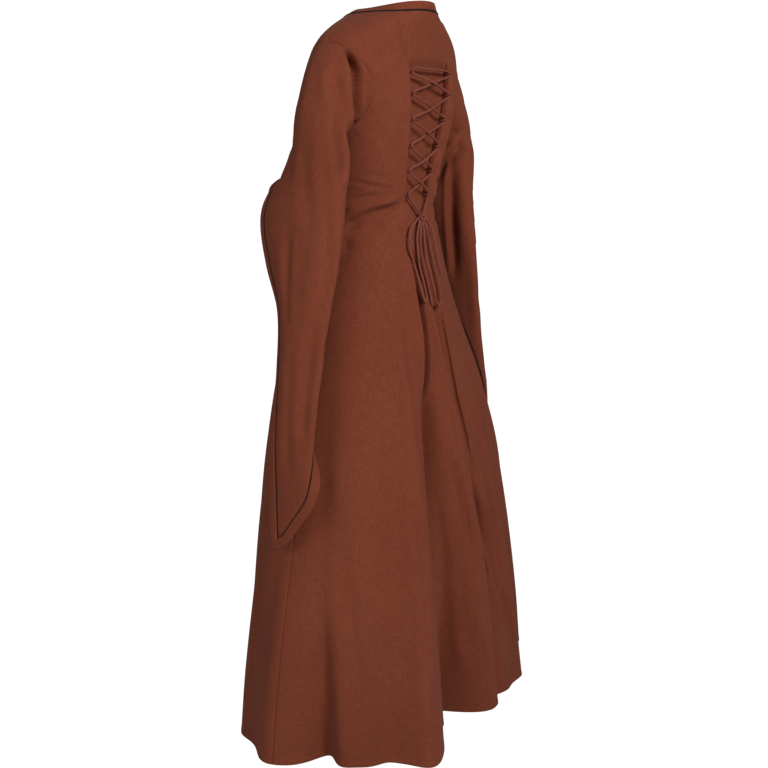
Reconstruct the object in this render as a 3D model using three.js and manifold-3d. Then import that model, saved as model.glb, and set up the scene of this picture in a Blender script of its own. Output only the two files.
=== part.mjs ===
// A worn medieval gown with a laced back and pointed trumpet sleeves, hollow as its wearer fills it.
// Millimetres. The wearer faces -Y, the wearer's left is +X, up is +Z. Heights in the tables are above the hem;
// the group is lowered at the end so that the origin lies between the shoulders that hold the gown up.
import * as THREE from 'three';
import Module from 'manifold-3d';
import { mergeVertices } from 'three/addons/utils/BufferGeometryUtils.js';

const wasm = await Module();
wasm.setup();

// Driving sizes
const CLOTH = 2;
const SEAM_GAP = 0.4;
const WAIST_HEIGHT = 1075;
const SHOULDER_HEIGHT = 1420;
const BAND_WIDTH = 15;
const PIPING_RADIUS = 2;
const PIPING_GAP = 0.55;
const LACE_RADIUS = 2.6;
const LACE_CLEARANCE = 0.6;

// Form of the body: height, half width, depth in front of the shoulder line, depth behind it
const BODY = [
  { height: 0, halfWidth: 345, front: 249, back: 250 },
  { height: 140, halfWidth: 335, front: 247, back: 232 },
  { height: 317, halfWidth: 312, front: 241, back: 208 },
  { height: 466, halfWidth: 286, front: 236, back: 186 },
  { height: 637, halfWidth: 250, front: 227, back: 160 },
  { height: 780, halfWidth: 215, front: 210, back: 135 },
  { height: 900, halfWidth: 180, front: 182, back: 112 },
  { height: 980, halfWidth: 158, front: 156, back: 95 },
  { height: 1075, halfWidth: 137, front: 130, back: 80 },
  { height: 1135, halfWidth: 142, front: 128, back: 86 },
  { height: 1200, halfWidth: 156, front: 136, back: 98 },
  { height: 1245, halfWidth: 168, front: 138, back: 107 },
  { height: 1290, halfWidth: 178, front: 130, back: 112 },
  { height: 1335, halfWidth: 184, front: 114, back: 112 },
  { height: 1370, halfWidth: 184, front: 92, back: 107 },
  { height: 1395, halfWidth: 172, front: 72, back: 105 },
  { height: 1415, halfWidth: 149, front: 56, back: 105 },
  { height: 1430, halfWidth: 122, front: 47, back: 106 },
  { height: 1444, halfWidth: 92, front: 40, back: 107 },
  { height: 1455, halfWidth: 74, front: 34, back: 108 },
  { height: 1470, halfWidth: 66, front: 28, back: 106 },
];
const SKIRT_ROUNDNESS = 2;
const BODICE_ROUNDNESS = 2.3;

// Folds of the skirt, round from the back centre: angle at the waist and at the hem (the wearer's left is
// positive), height where the fold starts, how far it stands out half way down and at the hem, half its width there
const FOLDS = [
  { waist: 95, hem: 93, start: 760, middle: 6, depth: 26, width: 44 },
  { waist: 84, hem: 76, start: 680, middle: -6, depth: -56, width: 32 },
  { waist: 74, hem: 64, start: 700, middle: 4, depth: -8, width: 34 },
  { waist: 60, hem: 52, start: 520, middle: -5, depth: -12, width: 26 },
  { waist: 47, hem: 35, start: 900, middle: 16, depth: 46, width: 38 },
  { waist: 33, hem: -3, start: 760, middle: -42, depth: -122, width: 54 },
  { waist: 25, hem: -27, start: 1040, middle: 12, depth: -8, width: 26 },
  { waist: 10, hem: -36, start: 1040, middle: -46, depth: -30, width: 24 },
  { waist: -25, hem: -56, start: 1040, middle: 16, depth: 32, width: 30 },
  { waist: -42, hem: -68, start: 860, middle: -26, depth: 20, width: 24 },
  { waist: -58, hem: -80, start: 940, middle: 68, depth: 112, width: 36 },
  { waist: -78, hem: -94, start: 640, middle: -8, depth: -20, width: 28 },
  { waist: -98, hem: -110, start: 700, middle: 5, depth: 16, width: 36 },
  { waist: -122, hem: -128, start: 620, middle: -6, depth: -16, width: 32 },
  { waist: -142, hem: -146, start: 820, middle: 8, depth: 18, width: 36 },
  { waist: -160, hem: -163, start: 700, middle: -8, depth: -20, width: 30 },
  { waist: 178, hem: 179, start: 860, middle: 8, depth: 16, width: 38 },
  { waist: 158, hem: 161, start: 740, middle: -7, depth: -18, width: 30 },
  { waist: 140, hem: 144, start: 840, middle: 8, depth: 20, width: 38 },
  { waist: 114, hem: 114, start: 600, middle: 5, depth: 18, width: 40 },
];

// The cut's fullness over the bust: one soft swelling on each side of the front
const BUST = { height: 1225, angle: 152, depth: 14, spanHeight: 62, spanAngle: 19 };

// Lacing seams: half the distance between them at each height, and the angles where they meet the hem
const LACING = [
  { height: 1075, half: 37 },
  { height: 1145, half: 45 },
  { height: 1247, half: 60 },
  { height: 1340, half: 70 },
  { height: 1470, half: 54 },
];
const LACING_HEM_ANGLE = { left: -20, right: -56 };
const SIDE_SEAM_ANGLE = 90;

// Neckline: height at the back, over the shoulders and in front
const NECK = { back: 1466, side: 1452, front: 1366 };

// Armhole: an upright oval seen from the side
const ARMHOLE = { y: 2, height: 1305, halfDepth: 78, halfHeight: 79 };

// Sleeve from the underarm down: outer and inner face, front edge with its band, rear fold, how far round from
// the front the mouth is open, and how far its outer edge turns in
const SLEEVE = [
  { height: 1215, outer: 255, inner: 168, front: -43, rear: 62, open: 0, curl: 0 },
  { height: 1178, outer: 258, inner: 168, front: -54, rear: 70, open: 0, curl: 0 },
  { height: 1136, outer: 260, inner: 170, front: -77, rear: 71, open: 0, curl: 0 },
  { height: 1104, outer: 261, inner: 173, front: -90, rear: 69, open: 38, curl: 3 },
  { height: 1055, outer: 264, inner: 180, front: -98, rear: 69, open: 58, curl: 7 },
  { height: 975, outer: 271, inner: 202, front: -76, rear: 69, open: 72, curl: 9 },
  { height: 889, outer: 286, inner: 230, front: -44, rear: 66, open: 78, curl: 13 },
  { height: 780, outer: 304, inner: 259, front: -31, rear: 64, open: 80, curl: 12 },
  { height: 640, outer: 322, inner: 289, front: -17, rear: 64, open: 80, curl: 3 },
  { height: 460, outer: 333, inner: 312, front: -3, rear: 58, open: 80, curl: 0 },
];
// Lower edge of the sleeve, round from the outer front edge by the rear fold to the inner front edge
const SLEEVE_EDGE = [
  { around: 0, height: 462 },
  { around: 0.06, height: 470 },
  { around: 0.2, height: 505 },
  { around: 0.38, height: 548 },
  { around: 0.5, height: 602 },
  { around: 0.65, height: 700 },
  { around: 0.85, height: 852 },
  { around: 1, height: 955 },
];
const SLEEVE_ROOT_PULL = 0.66;
const CURL_WIDTH = 0.1;

// Steps of the meshes
const SKIRT_ROWS = 10;
const BODICE_ROWS = 4;
const YOKE_ROWS = 6;
const YOKE_START = 1262;
const PANEL_COLUMNS = { front: 26, sideBack: 13, centreBack: 9 };
const SLEEVE_COLUMNS = 20;
const SLEEVE_CAP_ROWS = 5;
const MOUTH_TOP_ROW = 2;

const radians = THREE.MathUtils.degToRad;

// A smooth value from a table at a place, through its rows
function along(rows, key, column, place) {
  const rising = rows[0][key] < rows[rows.length - 1][key] ? rows : [...rows].reverse();
  const last = rising.length - 1;
  let i = rising.findIndex((row) => row[key] > place) - 1;
  if (place >= rising[last][key]) i = last - 1;
  if (i < 0) i = 0;
  const [a, b] = [rising[i], rising[i + 1]];
  const before = rising[Math.max(i - 1, 0)];
  const after = rising[Math.min(i + 2, last)];
  const span = b[key] - a[key];
  const t = THREE.MathUtils.clamp((place - a[key]) / span, 0, 1);
  const slopeA = ((b[column] - before[column]) / (b[key] - before[key])) * span;
  const slopeB = ((after[column] - a[column]) / (after[key] - a[key])) * span;
  return (
    (2 * t ** 3 - 3 * t ** 2 + 1) * a[column] + (t ** 3 - 2 * t ** 2 + t) * slopeA
    + (3 * t ** 2 - 2 * t ** 3) * b[column] + (t ** 3 - t ** 2) * slopeB
  );
}

function smoothStep(value) {
  const t = THREE.MathUtils.clamp(value, 0, 1);
  return t * t * (3 - 2 * t);
}

function bell(distance, width) {
  return Math.exp(-((distance / width) ** 2));
}

// Distance between two angles in degrees, from -180 to 180
function turn(from, to) {
  return ((((to - from) % 360) + 540) % 360) - 180;
}

// The body's oval with no folds: distance from the axis at an angle from the back centre
function baseRadius(angle, height) {
  const sine = Math.abs(Math.sin(radians(angle)));
  const cosine = Math.cos(radians(angle));
  const halfWidth = along(BODY, 'height', 'halfWidth', height);
  const depth = along(BODY, 'height', cosine > 0 ? 'back' : 'front', height);
  const rise = smoothStep((height - WAIST_HEIGHT) / 150);
  const power = THREE.MathUtils.lerp(SKIRT_ROUNDNESS, BODICE_ROUNDNESS, rise);
  return ((sine / halfWidth) ** power + (Math.abs(cosine) / depth) ** power) ** (-1 / power);
}

function basePoint(angle, height) {
  const radius = baseRadius(angle, height);
  return new THREE.Vector2(radius * Math.sin(radians(angle)), radius * Math.cos(radians(angle)));
}

// A fold or a seam hangs straight from the waist to the hem, so its angle changes with the height
function hangingAngle(waistAngle, hemAngle, height) {
  const down = THREE.MathUtils.clamp(1 - height / WAIST_HEIGHT, 0, 1);
  const place = basePoint(waistAngle, WAIST_HEIGHT).lerp(basePoint(hemAngle, 0), down);
  return THREE.MathUtils.radToDeg(Math.atan2(place.x, place.y));
}

function foldDepth(fold, angle, height) {
  const down = 1 - height / fold.start;
  if (down <= 0) return 0;
  const grown = down < 0.5
    ? fold.middle * smoothStep(down * 2)
    : THREE.MathUtils.lerp(fold.middle, fold.depth, (down - 0.5) * 2);
  const centre = hangingAngle(fold.waist, fold.hem, height);
  const width = fold.width * THREE.MathUtils.lerp(0.42, 1, down);
  const arc = radians(turn(centre, angle)) * baseRadius(centre, height);
  return grown * bell(arc, width);
}

function bustDepth(angle, height) {
  const lift = bell(height - BUST.height, BUST.spanHeight);
  const left = bell(turn(BUST.angle, angle), BUST.spanAngle);
  const right = bell(turn(-BUST.angle, angle), BUST.spanAngle);
  return BUST.depth * lift * (left + right);
}

function bodyPoint(angle, height) {
  let radius = baseRadius(angle, height) + bustDepth(angle, height);
  for (const fold of FOLDS) radius += foldDepth(fold, angle, height);
  return new THREE.Vector3(radius * Math.sin(radians(angle)), radius * Math.cos(radians(angle)), height);
}

// Outward direction of the body's surface
function bodyNormal(angle, height) {
  const across = bodyPoint(angle + 0.5, height).sub(bodyPoint(angle - 0.5, height));
  const up = bodyPoint(angle, height + 2).sub(bodyPoint(angle, height - 2));
  return up.cross(across).normalize();
}

function lacingAngle(side, height) {
  const sign = side === 'left' ? 1 : -1;
  const level = Math.max(height, WAIST_HEIGHT);
  const half = along(LACING, 'height', 'half', level);
  const bodice = THREE.MathUtils.radToDeg(Math.atan2(half, along(BODY, 'height', 'back', level)));
  if (height >= WAIST_HEIGHT) return sign * bodice;
  return hangingAngle(sign * bodice, LACING_HEM_ANGLE[side], height);
}

function neckHeight(angle) {
  const cosine = Math.cos(radians(angle));
  const end = cosine > 0 ? NECK.back : NECK.front;
  return THREE.MathUtils.lerp(NECK.side, end, cosine * cosine);
}

// Height of a line that runs at a set distance below the neckline, measured on the cloth
function belowNeck(angle, distance) {
  const top = neckHeight(angle);
  const step = bodyPoint(angle, top).distanceTo(bodyPoint(angle, top - 4)) / 4;
  return top - distance / step;
}

function vertexNormals(points, triangles) {
  const normals = points.map(() => new THREE.Vector3());
  for (const [a, b, c] of triangles) {
    const face = points[b].clone().sub(points[a]).cross(points[c].clone().sub(points[a]));
    for (const corner of [a, b, c]) normals[corner].add(face);
  }
  return normals.map((normal) => normal.normalize());
}

// A cloth wall: the outer surface given as points and triangles, an inner one behind it, and edges all round
function clothWall(points, triangles, thickness = CLOTH, normals = vertexNormals(points, triangles)) {
  const count = points.length;
  const inner = points.map((point, i) => point.clone().addScaledVector(normals[i], -thickness));
  const all = [...points, ...inner];
  const faces = [];
  const edges = new Set();
  for (const [a, b, c] of triangles) {
    faces.push([a, b, c], [a + count, c + count, b + count]);
    for (const [from, to] of [[a, b], [b, c], [c, a]]) edges.add(`${from} ${to}`);
  }
  for (const edge of edges) {
    const [from, to] = edge.split(' ').map(Number);
    if (edges.has(`${to} ${from}`)) continue;
    faces.push([to, from, from + count], [to, from + count, to + count]);
  }
  const geometry = new THREE.BufferGeometry();
  geometry.setAttribute('position', new THREE.Float32BufferAttribute(all.flatMap((p) => [p.x, p.y, p.z]), 3));
  geometry.setIndex(faces.flat());
  return geometry;
}

// Points and triangles of a grid of rows; closed joins the last column to the first
function gridSurface(rows, closed = false) {
  const columns = rows[0].length;
  const triangles = [];
  for (let j = 0; j + 1 < rows.length; j += 1) {
    for (let i = 0; i + (closed ? 0 : 1) < columns; i += 1) {
      const next = (i + 1) % columns;
      const [a, b, c, d] = [j * columns + i, j * columns + next, (j + 1) * columns + next, (j + 1) * columns + i];
      triangles.push([a, b, c], [a, c, d]);
    }
  }
  return { points: rows.flat(), triangles };
}

function toSolid(geometry) {
  const bare = geometry.clone();
  bare.deleteAttribute('normal');
  bare.deleteAttribute('uv');
  const merged = mergeVertices(bare, 1e-4);
  const vertProperties = new Float32Array(merged.attributes.position.array);
  const triVerts = new Uint32Array(merged.index.array);
  return new wasm.Manifold(new wasm.Mesh({ numProp: 3, vertProperties, triVerts }));
}

function fromSolid(solid) {
  const mesh = solid.getMesh();
  const geometry = new THREE.BufferGeometry();
  geometry.setAttribute('position', new THREE.Float32BufferAttribute(mesh.vertProperties, 3));
  geometry.setIndex(new THREE.Uint32BufferAttribute(mesh.triVerts, 1));
  return geometry;
}

// Heights of a panel's rows at one angle, from the hem to the seam under the neck band
function panelHeights(angle) {
  const top = belowNeck(angle, BAND_WIDTH + 2 * PIPING_GAP + 2 * PIPING_RADIUS);
  const heights = [];
  for (let j = 0; j < SKIRT_ROWS; j += 1) heights.push((WAIST_HEIGHT * j) / SKIRT_ROWS);
  for (let j = 0; j < BODICE_ROWS; j += 1) {
    heights.push(THREE.MathUtils.lerp(WAIST_HEIGHT, YOKE_START, j / BODICE_ROWS));
  }
  for (let j = 0; j <= YOKE_ROWS; j += 1) heights.push(THREE.MathUtils.lerp(YOKE_START, top, j / YOKE_ROWS));
  return heights;
}

// A panel between two seams, each given as its angle at a height
function panel(startSeam, endSeam, columns) {
  const rowCount = panelHeights(0).length;
  const rows = [];
  const normals = [];
  for (let j = 0; j < rowCount; j += 1) {
    const row = [];
    for (let i = 0; i <= columns; i += 1) {
      const guess = THREE.MathUtils.lerp(startSeam(WAIST_HEIGHT), endSeam(WAIST_HEIGHT), i / columns);
      let height = panelHeights(guess)[j];
      let angle = guess;
      for (let pass = 0; pass < 3; pass += 1) {
        angle = THREE.MathUtils.lerp(startSeam(height), endSeam(height), i / columns);
        height = panelHeights(angle)[j];
      }
      const inset = THREE.MathUtils.radToDeg(SEAM_GAP / 2 / baseRadius(angle, height));
      if (i === 0) angle += inset;
      if (i === columns) angle -= inset;
      row.push(bodyPoint(angle, height));
      normals.push(bodyNormal(angle, height));
    }
    rows.push(row);
  }
  const { points, triangles } = gridSurface(rows);
  return clothWall(points, triangles.map(([a, b, c]) => [a, c, b]), CLOTH, normals);
}

// Half width of the unfolded body at a place seen from the side
function bodyHalfWidth(y, height) {
  const depth = along(BODY, 'height', y > 0 ? 'back' : 'front', height);
  const halfWidth = along(BODY, 'height', 'halfWidth', height);
  const share = Math.min(Math.abs(y) / depth, 1);
  return halfWidth * (1 - share ** BODICE_ROUNDNESS) ** (1 / BODICE_ROUNDNESS);
}

function armholePunch(side) {
  const outline = new THREE.Shape();
  outline.absellipse(0, 0, ARMHOLE.halfDepth, ARMHOLE.halfHeight, 0, 2 * Math.PI);
  const length = 240;
  const innerEnd = 60;
  const geometry = new THREE.ExtrudeGeometry(outline, { depth: length, bevelEnabled: false, curveSegments: 16 });
  geometry.rotateX(Math.PI / 2);
  geometry.rotateZ(Math.PI / 2);
  const x = side === 'left' ? innerEnd : -innerEnd - length;
  geometry.translate(x, ARMHOLE.y, ARMHOLE.height);
  return toSolid(geometry);
}

function cutArmholes(geometry, sides) {
  let solid = toSolid(geometry);
  for (const side of sides) solid = solid.subtract(armholePunch(side));
  return fromSolid(solid);
}

// Sleeve section at a height: round from the outer front edge by the rear to the inner front edge
function sleevePoint(around, height) {
  const value = (column) => along(SLEEVE, 'height', column, height);
  const open = Math.max(value('open'), 0);
  const theta = radians(THREE.MathUtils.lerp(open, 360 - open, around));
  const depth = (value('rear') - value('front')) / (1 + Math.cos(radians(open)));
  const centreX = (value('outer') + value('inner')) / 2;
  const halfX = (value('outer') - value('inner')) / 2;
  const centreY = value('rear') - depth;
  const turned = value('curl') * Math.max(1 - around / CURL_WIDTH, 0) ** 2;
  return new THREE.Vector3(centreX + halfX * Math.sin(theta) - turned, centreY - depth * Math.cos(theta), height);
}

// The edge that is sewn into the armhole
function sleeveRoot(around) {
  const theta = 2 * Math.PI * around;
  const y = ARMHOLE.y - (ARMHOLE.halfDepth - SEAM_GAP) * Math.cos(theta);
  const height = ARMHOLE.height + (ARMHOLE.halfHeight - SEAM_GAP) * Math.sin(theta);
  return new THREE.Vector3(bodyHalfWidth(y, height), y, height);
}

// Sleeve cap: leaves the armhole outward and turns down into the arm
function sleeveCapPoint(around, down) {
  const from = sleeveRoot(around);
  const to = sleevePoint(around, SLEEVE[0].height);
  const reach = from.distanceTo(to) * SLEEVE_ROOT_PULL;
  const out = new THREE.Vector3(0.75, 0, -0.25 * Math.max(Math.sin(2 * Math.PI * around), 0)).multiplyScalar(reach);
  const drop = new THREE.Vector3(0, 0, -1).multiplyScalar(reach);
  const t = down;
  return from.clone().multiplyScalar(2 * t ** 3 - 3 * t ** 2 + 1)
    .addScaledVector(out, t ** 3 - 2 * t ** 2 + t)
    .addScaledVector(to, 3 * t ** 2 - 2 * t ** 3)
    .addScaledVector(drop, t ** 3 - t ** 2);
}

// The sleeve's outer surface, whole round its arm down to the top of the mouth and open in front below it
function sleeveSurface() {
  const points = [];
  const index = [];
  const closedRows = SLEEVE_CAP_ROWS + MOUTH_TOP_ROW;
  const openRows = [0.05, 0.12, 0.22, 0.34, 0.47, 0.6, 0.73, 0.87, 1];
  const mouthTop = SLEEVE[MOUTH_TOP_ROW].height;
  const addRow = (row, closed) => {
    const line = row.map((point) => points.push(point) - 1);
    if (closed) line.push(line[0]);
    index.push(line);
  };
  for (let j = 0; j <= closedRows; j += 1) {
    const row = [];
    for (let i = 0; i < SLEEVE_COLUMNS; i += 1) {
      const around = i / SLEEVE_COLUMNS;
      const height = SLEEVE[Math.max(j - SLEEVE_CAP_ROWS, 0)].height;
      row.push(j < SLEEVE_CAP_ROWS ? sleeveCapPoint(around, j / SLEEVE_CAP_ROWS) : sleevePoint(around, height));
    }
    addRow(row, true);
  }
  for (const part of openRows) {
    const row = [];
    for (let i = 0; i <= SLEEVE_COLUMNS; i += 1) {
      const around = i / SLEEVE_COLUMNS;
      const edge = along(SLEEVE_EDGE, 'around', 'height', around);
      row.push(sleevePoint(around, THREE.MathUtils.lerp(mouthTop, edge, part)));
    }
    addRow(row, false);
  }
  const triangles = [];
  for (let j = 0; j + 1 < index.length; j += 1) {
    for (let i = 0; i < SLEEVE_COLUMNS; i += 1) {
      const [a, b, c, d] = [index[j][i], index[j][i + 1], index[j + 1][i + 1], index[j + 1][i]];
      triangles.push([a, c, b], [a, d, c]);
    }
  }
  const mouth = [];
  for (let j = closedRows; j + 1 < index.length; j += 1) mouth.push(index[j][0]);
  mouth.push(...index[index.length - 1]);
  for (let j = index.length - 2; j > closedRows; j -= 1) mouth.push(index[j][SLEEVE_COLUMNS]);
  return { points, triangles, mouth };
}

// Each point of a closed edge with the cloth's outward normal there and the way the cloth would run on
function edgeFrames(points, triangles, loop) {
  const normals = vertexNormals(points, triangles);
  return loop.map((at, i) => {
    const before = points[loop[(i + loop.length - 1) % loop.length]];
    const after = points[loop[(i + 1) % loop.length]];
    const here = points[at];
    const normal = normals[at];
    const arriving = here.clone().sub(before).normalize();
    const leaving = after.clone().sub(here).normalize();
    const tangent = arriving.clone().add(leaving).normalize();
    const mitre = Math.min(1 / Math.max(arriving.dot(tangent), 0.3), 1.5);
    return { point: here, normal, onward: tangent.cross(normal).normalize().multiplyScalar(mitre) };
  });
}

function bandBeyond(frames, start, end) {
  const row = (distance) => frames.map(({ point, onward }) => point.clone().addScaledVector(onward, distance));
  const { points, triangles } = gridSurface([row(start), row(end)], true);
  return clothWall(points, triangles.map(([a, b, c]) => [a, c, b]));
}

// Piping in the seam beyond a closed edge: a round cord with one ring of points at each point of the edge
function pipingBeyond(frames) {
  const sides = 6;
  const distance = PIPING_GAP + PIPING_RADIUS;
  const rows = [];
  for (let j = 0; j < sides; j += 1) {
    const around = (2 * Math.PI * j) / sides;
    rows.push(frames.map(({ point, normal, onward }) => (
      point.clone()
        .addScaledVector(onward, distance + PIPING_RADIUS * Math.cos(around))
        .addScaledVector(normal, PIPING_RADIUS * Math.sin(around) - CLOTH / 2)
    )));
  }
  rows.push(rows[0]);
  const { points, triangles } = gridSurface(rows, true);
  const geometry = new THREE.BufferGeometry();
  geometry.setAttribute('position', new THREE.Float32BufferAttribute(points.flatMap((q) => [q.x, q.y, q.z]), 3));
  geometry.setIndex(triangles.flat());
  return geometry;
}

function mirroredSolid(geometry) {
  const copy = geometry.clone();
  copy.scale(-1, 1, 1);
  const order = copy.index.array;
  for (let i = 0; i < order.length; i += 3) [order[i], order[i + 1]] = [order[i + 1], order[i]];
  return copy;
}

function neckBand() {
  const steps = 44;
  const row = (distance) => Array.from({ length: steps }, (_, i) => {
    const angle = (360 * i) / steps;
    return bodyPoint(angle, belowNeck(angle, distance));
  });
  const { points, triangles } = gridSurface([row(BAND_WIDTH), row(0)], true);
  return clothWall(points, triangles.map(([a, b, c]) => [a, c, b]));
}

function neckPiping() {
  const steps = 44;
  const frames = Array.from({ length: steps }, (_, i) => {
    const angle = (360 * i) / steps;
    const height = belowNeck(angle, BAND_WIDTH + 2 * PIPING_GAP + 2 * PIPING_RADIUS);
    const point = bodyPoint(angle, height);
    const onward = bodyPoint(angle, height + 2).sub(bodyPoint(angle, height - 2)).normalize();
    return { point, normal: bodyNormal(angle, height), onward };
  });
  return pipingBeyond(frames);
}

// Lacing: heights of the loops, how far they stand in from the seam, and how high the lace lies there
const LOOP_HEIGHTS = [1333, 1293, 1245, 1195, 1147, 1100];
const LOOP = { inset: 7, lift: 6.8, ring: 4.6, cord: 1.1 };
const STRIP = { near: 1, far: 5.5, lift: 3.2, thickness: 1.6, above: 13, below: 12, rows: 10 };
const CROSSING_LIFT = { under: 4.4, over: 10.4 };
const BAR_RISE = 5.5;

// A point on or over the back, given by its distance in from a lacing seam
function backPoint(side, height, inset, lift) {
  const seam = lacingAngle(side, height);
  const angle = seam - Math.sign(seam) * THREE.MathUtils.radToDeg(inset / baseRadius(seam, height));
  return bodyPoint(angle, height).addScaledVector(bodyNormal(angle, height), lift);
}

function loopStrip(side) {
  const top = LOOP_HEIGHTS[0] + STRIP.above;
  const bottom = LOOP_HEIGHTS[LOOP_HEIGHTS.length - 1] - STRIP.below;
  const rows = [];
  for (let j = 0; j <= STRIP.rows; j += 1) {
    const height = THREE.MathUtils.lerp(bottom, top, j / STRIP.rows);
    const row = [STRIP.near, STRIP.far].map((inset) => backPoint(side, height, inset, STRIP.lift));
    rows.push(side === 'left' ? row.reverse() : row);
  }
  const { points, triangles } = gridSurface(rows);
  let solid = toSolid(clothWall(points, triangles.map(([a, b, c]) => [a, c, b]), STRIP.thickness));
  for (const height of LOOP_HEIGHTS) {
    const ring = new THREE.TorusGeometry(LOOP.ring, LOOP.cord, 5, 10);
    const place = backPoint(side, height, LOOP.inset, LOOP.lift);
    ring.translate(place.x, place.y, place.z);
    solid = solid.add(toSolid(ring));
  }
  return fromSolid(solid);
}

// A point of the back between the two rows of loops
function betweenLoops(share, height, lift) {
  const left = lacingAngle('left', height);
  const angle = THREE.MathUtils.lerp(left, lacingAngle('right', height), share);
  return bodyPoint(angle, height).addScaledVector(bodyNormal(angle, height), lift);
}

function loopShare(side) {
  const height = LOOP_HEIGHTS[3];
  const width = 2 * along(LACING, 'height', 'half', height);
  return side === 'left' ? LOOP.inset / width : 1 - LOOP.inset / width;
}

// One half of the lace: down through the loops of alternate sides, from a first side
function laceRoute(firstSide, crossing, knot) {
  const pass = 4;
  const route = [];
  let side = firstSide;
  LOOP_HEIGHTS.forEach((height, i) => {
    const here = backPoint(side, height, LOOP.inset, LOOP.lift);
    route.push(here.clone().setZ(height + pass), here, here.clone().setZ(height - pass));
    const next = LOOP_HEIGHTS[i + 1];
    const nextSide = side === 'left' ? 'right' : 'left';
    if (next !== undefined) {
      for (const share of [0.3, 0.5, 0.7]) {
        const across = THREE.MathUtils.lerp(loopShare(side), loopShare(nextSide), share);
        const lift = THREE.MathUtils.lerp(LOOP.lift, crossing, share === 0.5 ? 1 : 0.6);
        route.push(betweenLoops(across, THREE.MathUtils.lerp(height - pass, next + pass, share), lift));
      }
      side = nextSide;
    }
  });
  const last = route[route.length - 1];
  const toKnot = knot.clone().sub(last).normalize();
  route.push(last.clone().lerp(knot, 0.5));
  route.push(knot.clone().addScaledVector(toKnot, -KNOT.radius - LACE_CLEARANCE));
  return route;
}

// A round cord with one ring of points at each point of its route, closed at both ends
function cordTube(route) {
  const sides = 8;
  const points = [];
  const triangles = [];
  let across = new THREE.Vector3(1, 0, 0);
  route.forEach((place, j) => {
    const before = route[Math.max(j - 1, 0)];
    const after = route[Math.min(j + 1, route.length - 1)];
    const tangent = after.clone().sub(before).normalize();
    across = across.clone().addScaledVector(tangent, -across.dot(tangent)).normalize();
    const side = tangent.clone().cross(across);
    for (let i = 0; i < sides; i += 1) {
      const around = (2 * Math.PI * i) / sides;
      const out = across.clone().multiplyScalar(Math.cos(around)).addScaledVector(side, Math.sin(around));
      points.push(place.clone().addScaledVector(out, LACE_RADIUS));
    }
  });
  for (let j = 0; j + 1 < route.length; j += 1) {
    for (let i = 0; i < sides; i += 1) {
      const next = (i + 1) % sides;
      const [a, b, c, d] = [j * sides + i, j * sides + next, (j + 1) * sides + next, (j + 1) * sides + i];
      triangles.push([a, b, c], [a, c, d]);
    }
  }
  const last = (route.length - 1) * sides;
  for (let i = 1; i + 1 < sides; i += 1) triangles.push([0, i + 1, i], [last, last + i, last + i + 1]);
  const geometry = new THREE.BufferGeometry();
  geometry.setAttribute('position', new THREE.Float32BufferAttribute(points.flatMap((q) => [q.x, q.y, q.z]), 3));
  geometry.setIndex(triangles.flat());
  return geometry;
}

// A free round cord along a smooth curve through its route
function hangingCord(route) {
  const sides = 8;
  const path = new THREE.CatmullRomCurve3(route, false, 'centripetal');
  const section = new THREE.Shape(Array.from({ length: sides }, (_, i) => {
    const around = (2 * Math.PI * i) / sides;
    return new THREE.Vector2(LACE_RADIUS * Math.cos(around), LACE_RADIUS * Math.sin(around));
  }));
  const steps = Math.round(path.getLength() / (4.5 * LACE_RADIUS));
  return new THREE.ExtrudeGeometry(section, { steps, bevelEnabled: false, extrudePath: path });
}

// The bow at the waist
const KNOT = { across: -4, height: 1056, lift: 10.5, radius: 9 };

// A point hung in front of the back of the skirt at a distance across, clear of its folds
function hangingPoint(across, height, lift) {
  const depth = along(BODY, 'height', 'back', height);
  const angle = THREE.MathUtils.radToDeg(Math.atan2(across, depth));
  let radius = 0;
  for (const near of [-8, -4, 0, 4, 8]) radius = Math.max(radius, bodyPoint(angle + near, height).setZ(0).length());
  const reach = Math.max(radius, baseRadius(angle, height)) + lift;
  return new THREE.Vector3(reach * Math.sin(radians(angle)), reach * Math.cos(radians(angle)), height);
}

// The hanging strands: distance across and height of each point, from the knot down
const BOW_LOOP_LEFT = [
  [16, 1054], [31, 1036], [42, 1004], [38, 976], [33, 944], [28, 912], [23, 892],
  [17, 904], [19, 932], [22, 962], [20, 990], [15, 1020], [11, 1043],
];
const BOW_LOOP_RIGHT = [
  [-9, 1037], [-6, 1008], [-4, 972], [-9, 940], [-13, 906], [-20, 880],
  [-29, 892], [-30, 924], [-26, 956], [-23, 984], [-21, 1014], [-19, 1042],
];
const LACE_TAIL_LEFT = [[2, 1036], [7, 1010], [9, 975], [7, 940], [5, 905], [4, 884]];
const LACE_TAIL_RIGHT = [[-25, 1052], [-35, 1032], [-37, 1000], [-40, 968], [-44, 940]];
const STRAND_LIFT = 6;

function hangingStrand(rows, returns) {
  const knot = knotCentre();
  const route = rows.map(([across, height]) => hangingPoint(across, height, STRAND_LIFT));
  const meet = (point) => {
    const away = point.clone().sub(knot).normalize();
    return knot.clone().addScaledVector(away, KNOT.radius + LACE_CLEARANCE);
  };
  route[0] = meet(route[0]);
  if (returns) route[route.length - 1] = meet(route[route.length - 1]);
  return route;
}

function knotCentre() {
  return betweenLoops(0.5, KNOT.height, KNOT.lift).setX(KNOT.across);
}

function knotBall() {
  const knot = knotCentre();
  const ball = new THREE.SphereGeometry(KNOT.radius, 10, 8);
  ball.translate(knot.x, knot.y, knot.z);
  return ball;
}

// Colours of the cloth and of the piping
const CLOTH_COLOUR = '#76402c';
const LACE_COLOUR = '#6b3229';
const PIPING_COLOUR = '#1d1411';

const gown = new THREE.Group();

function addPiece(name, geometry, colour, roughness) {
  const material = new THREE.MeshStandardMaterial({ color: colour, roughness, metalness: 0 });
  const mesh = new THREE.Mesh(geometry, material);
  mesh.name = name;
  gown.add(mesh);
}

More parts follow.
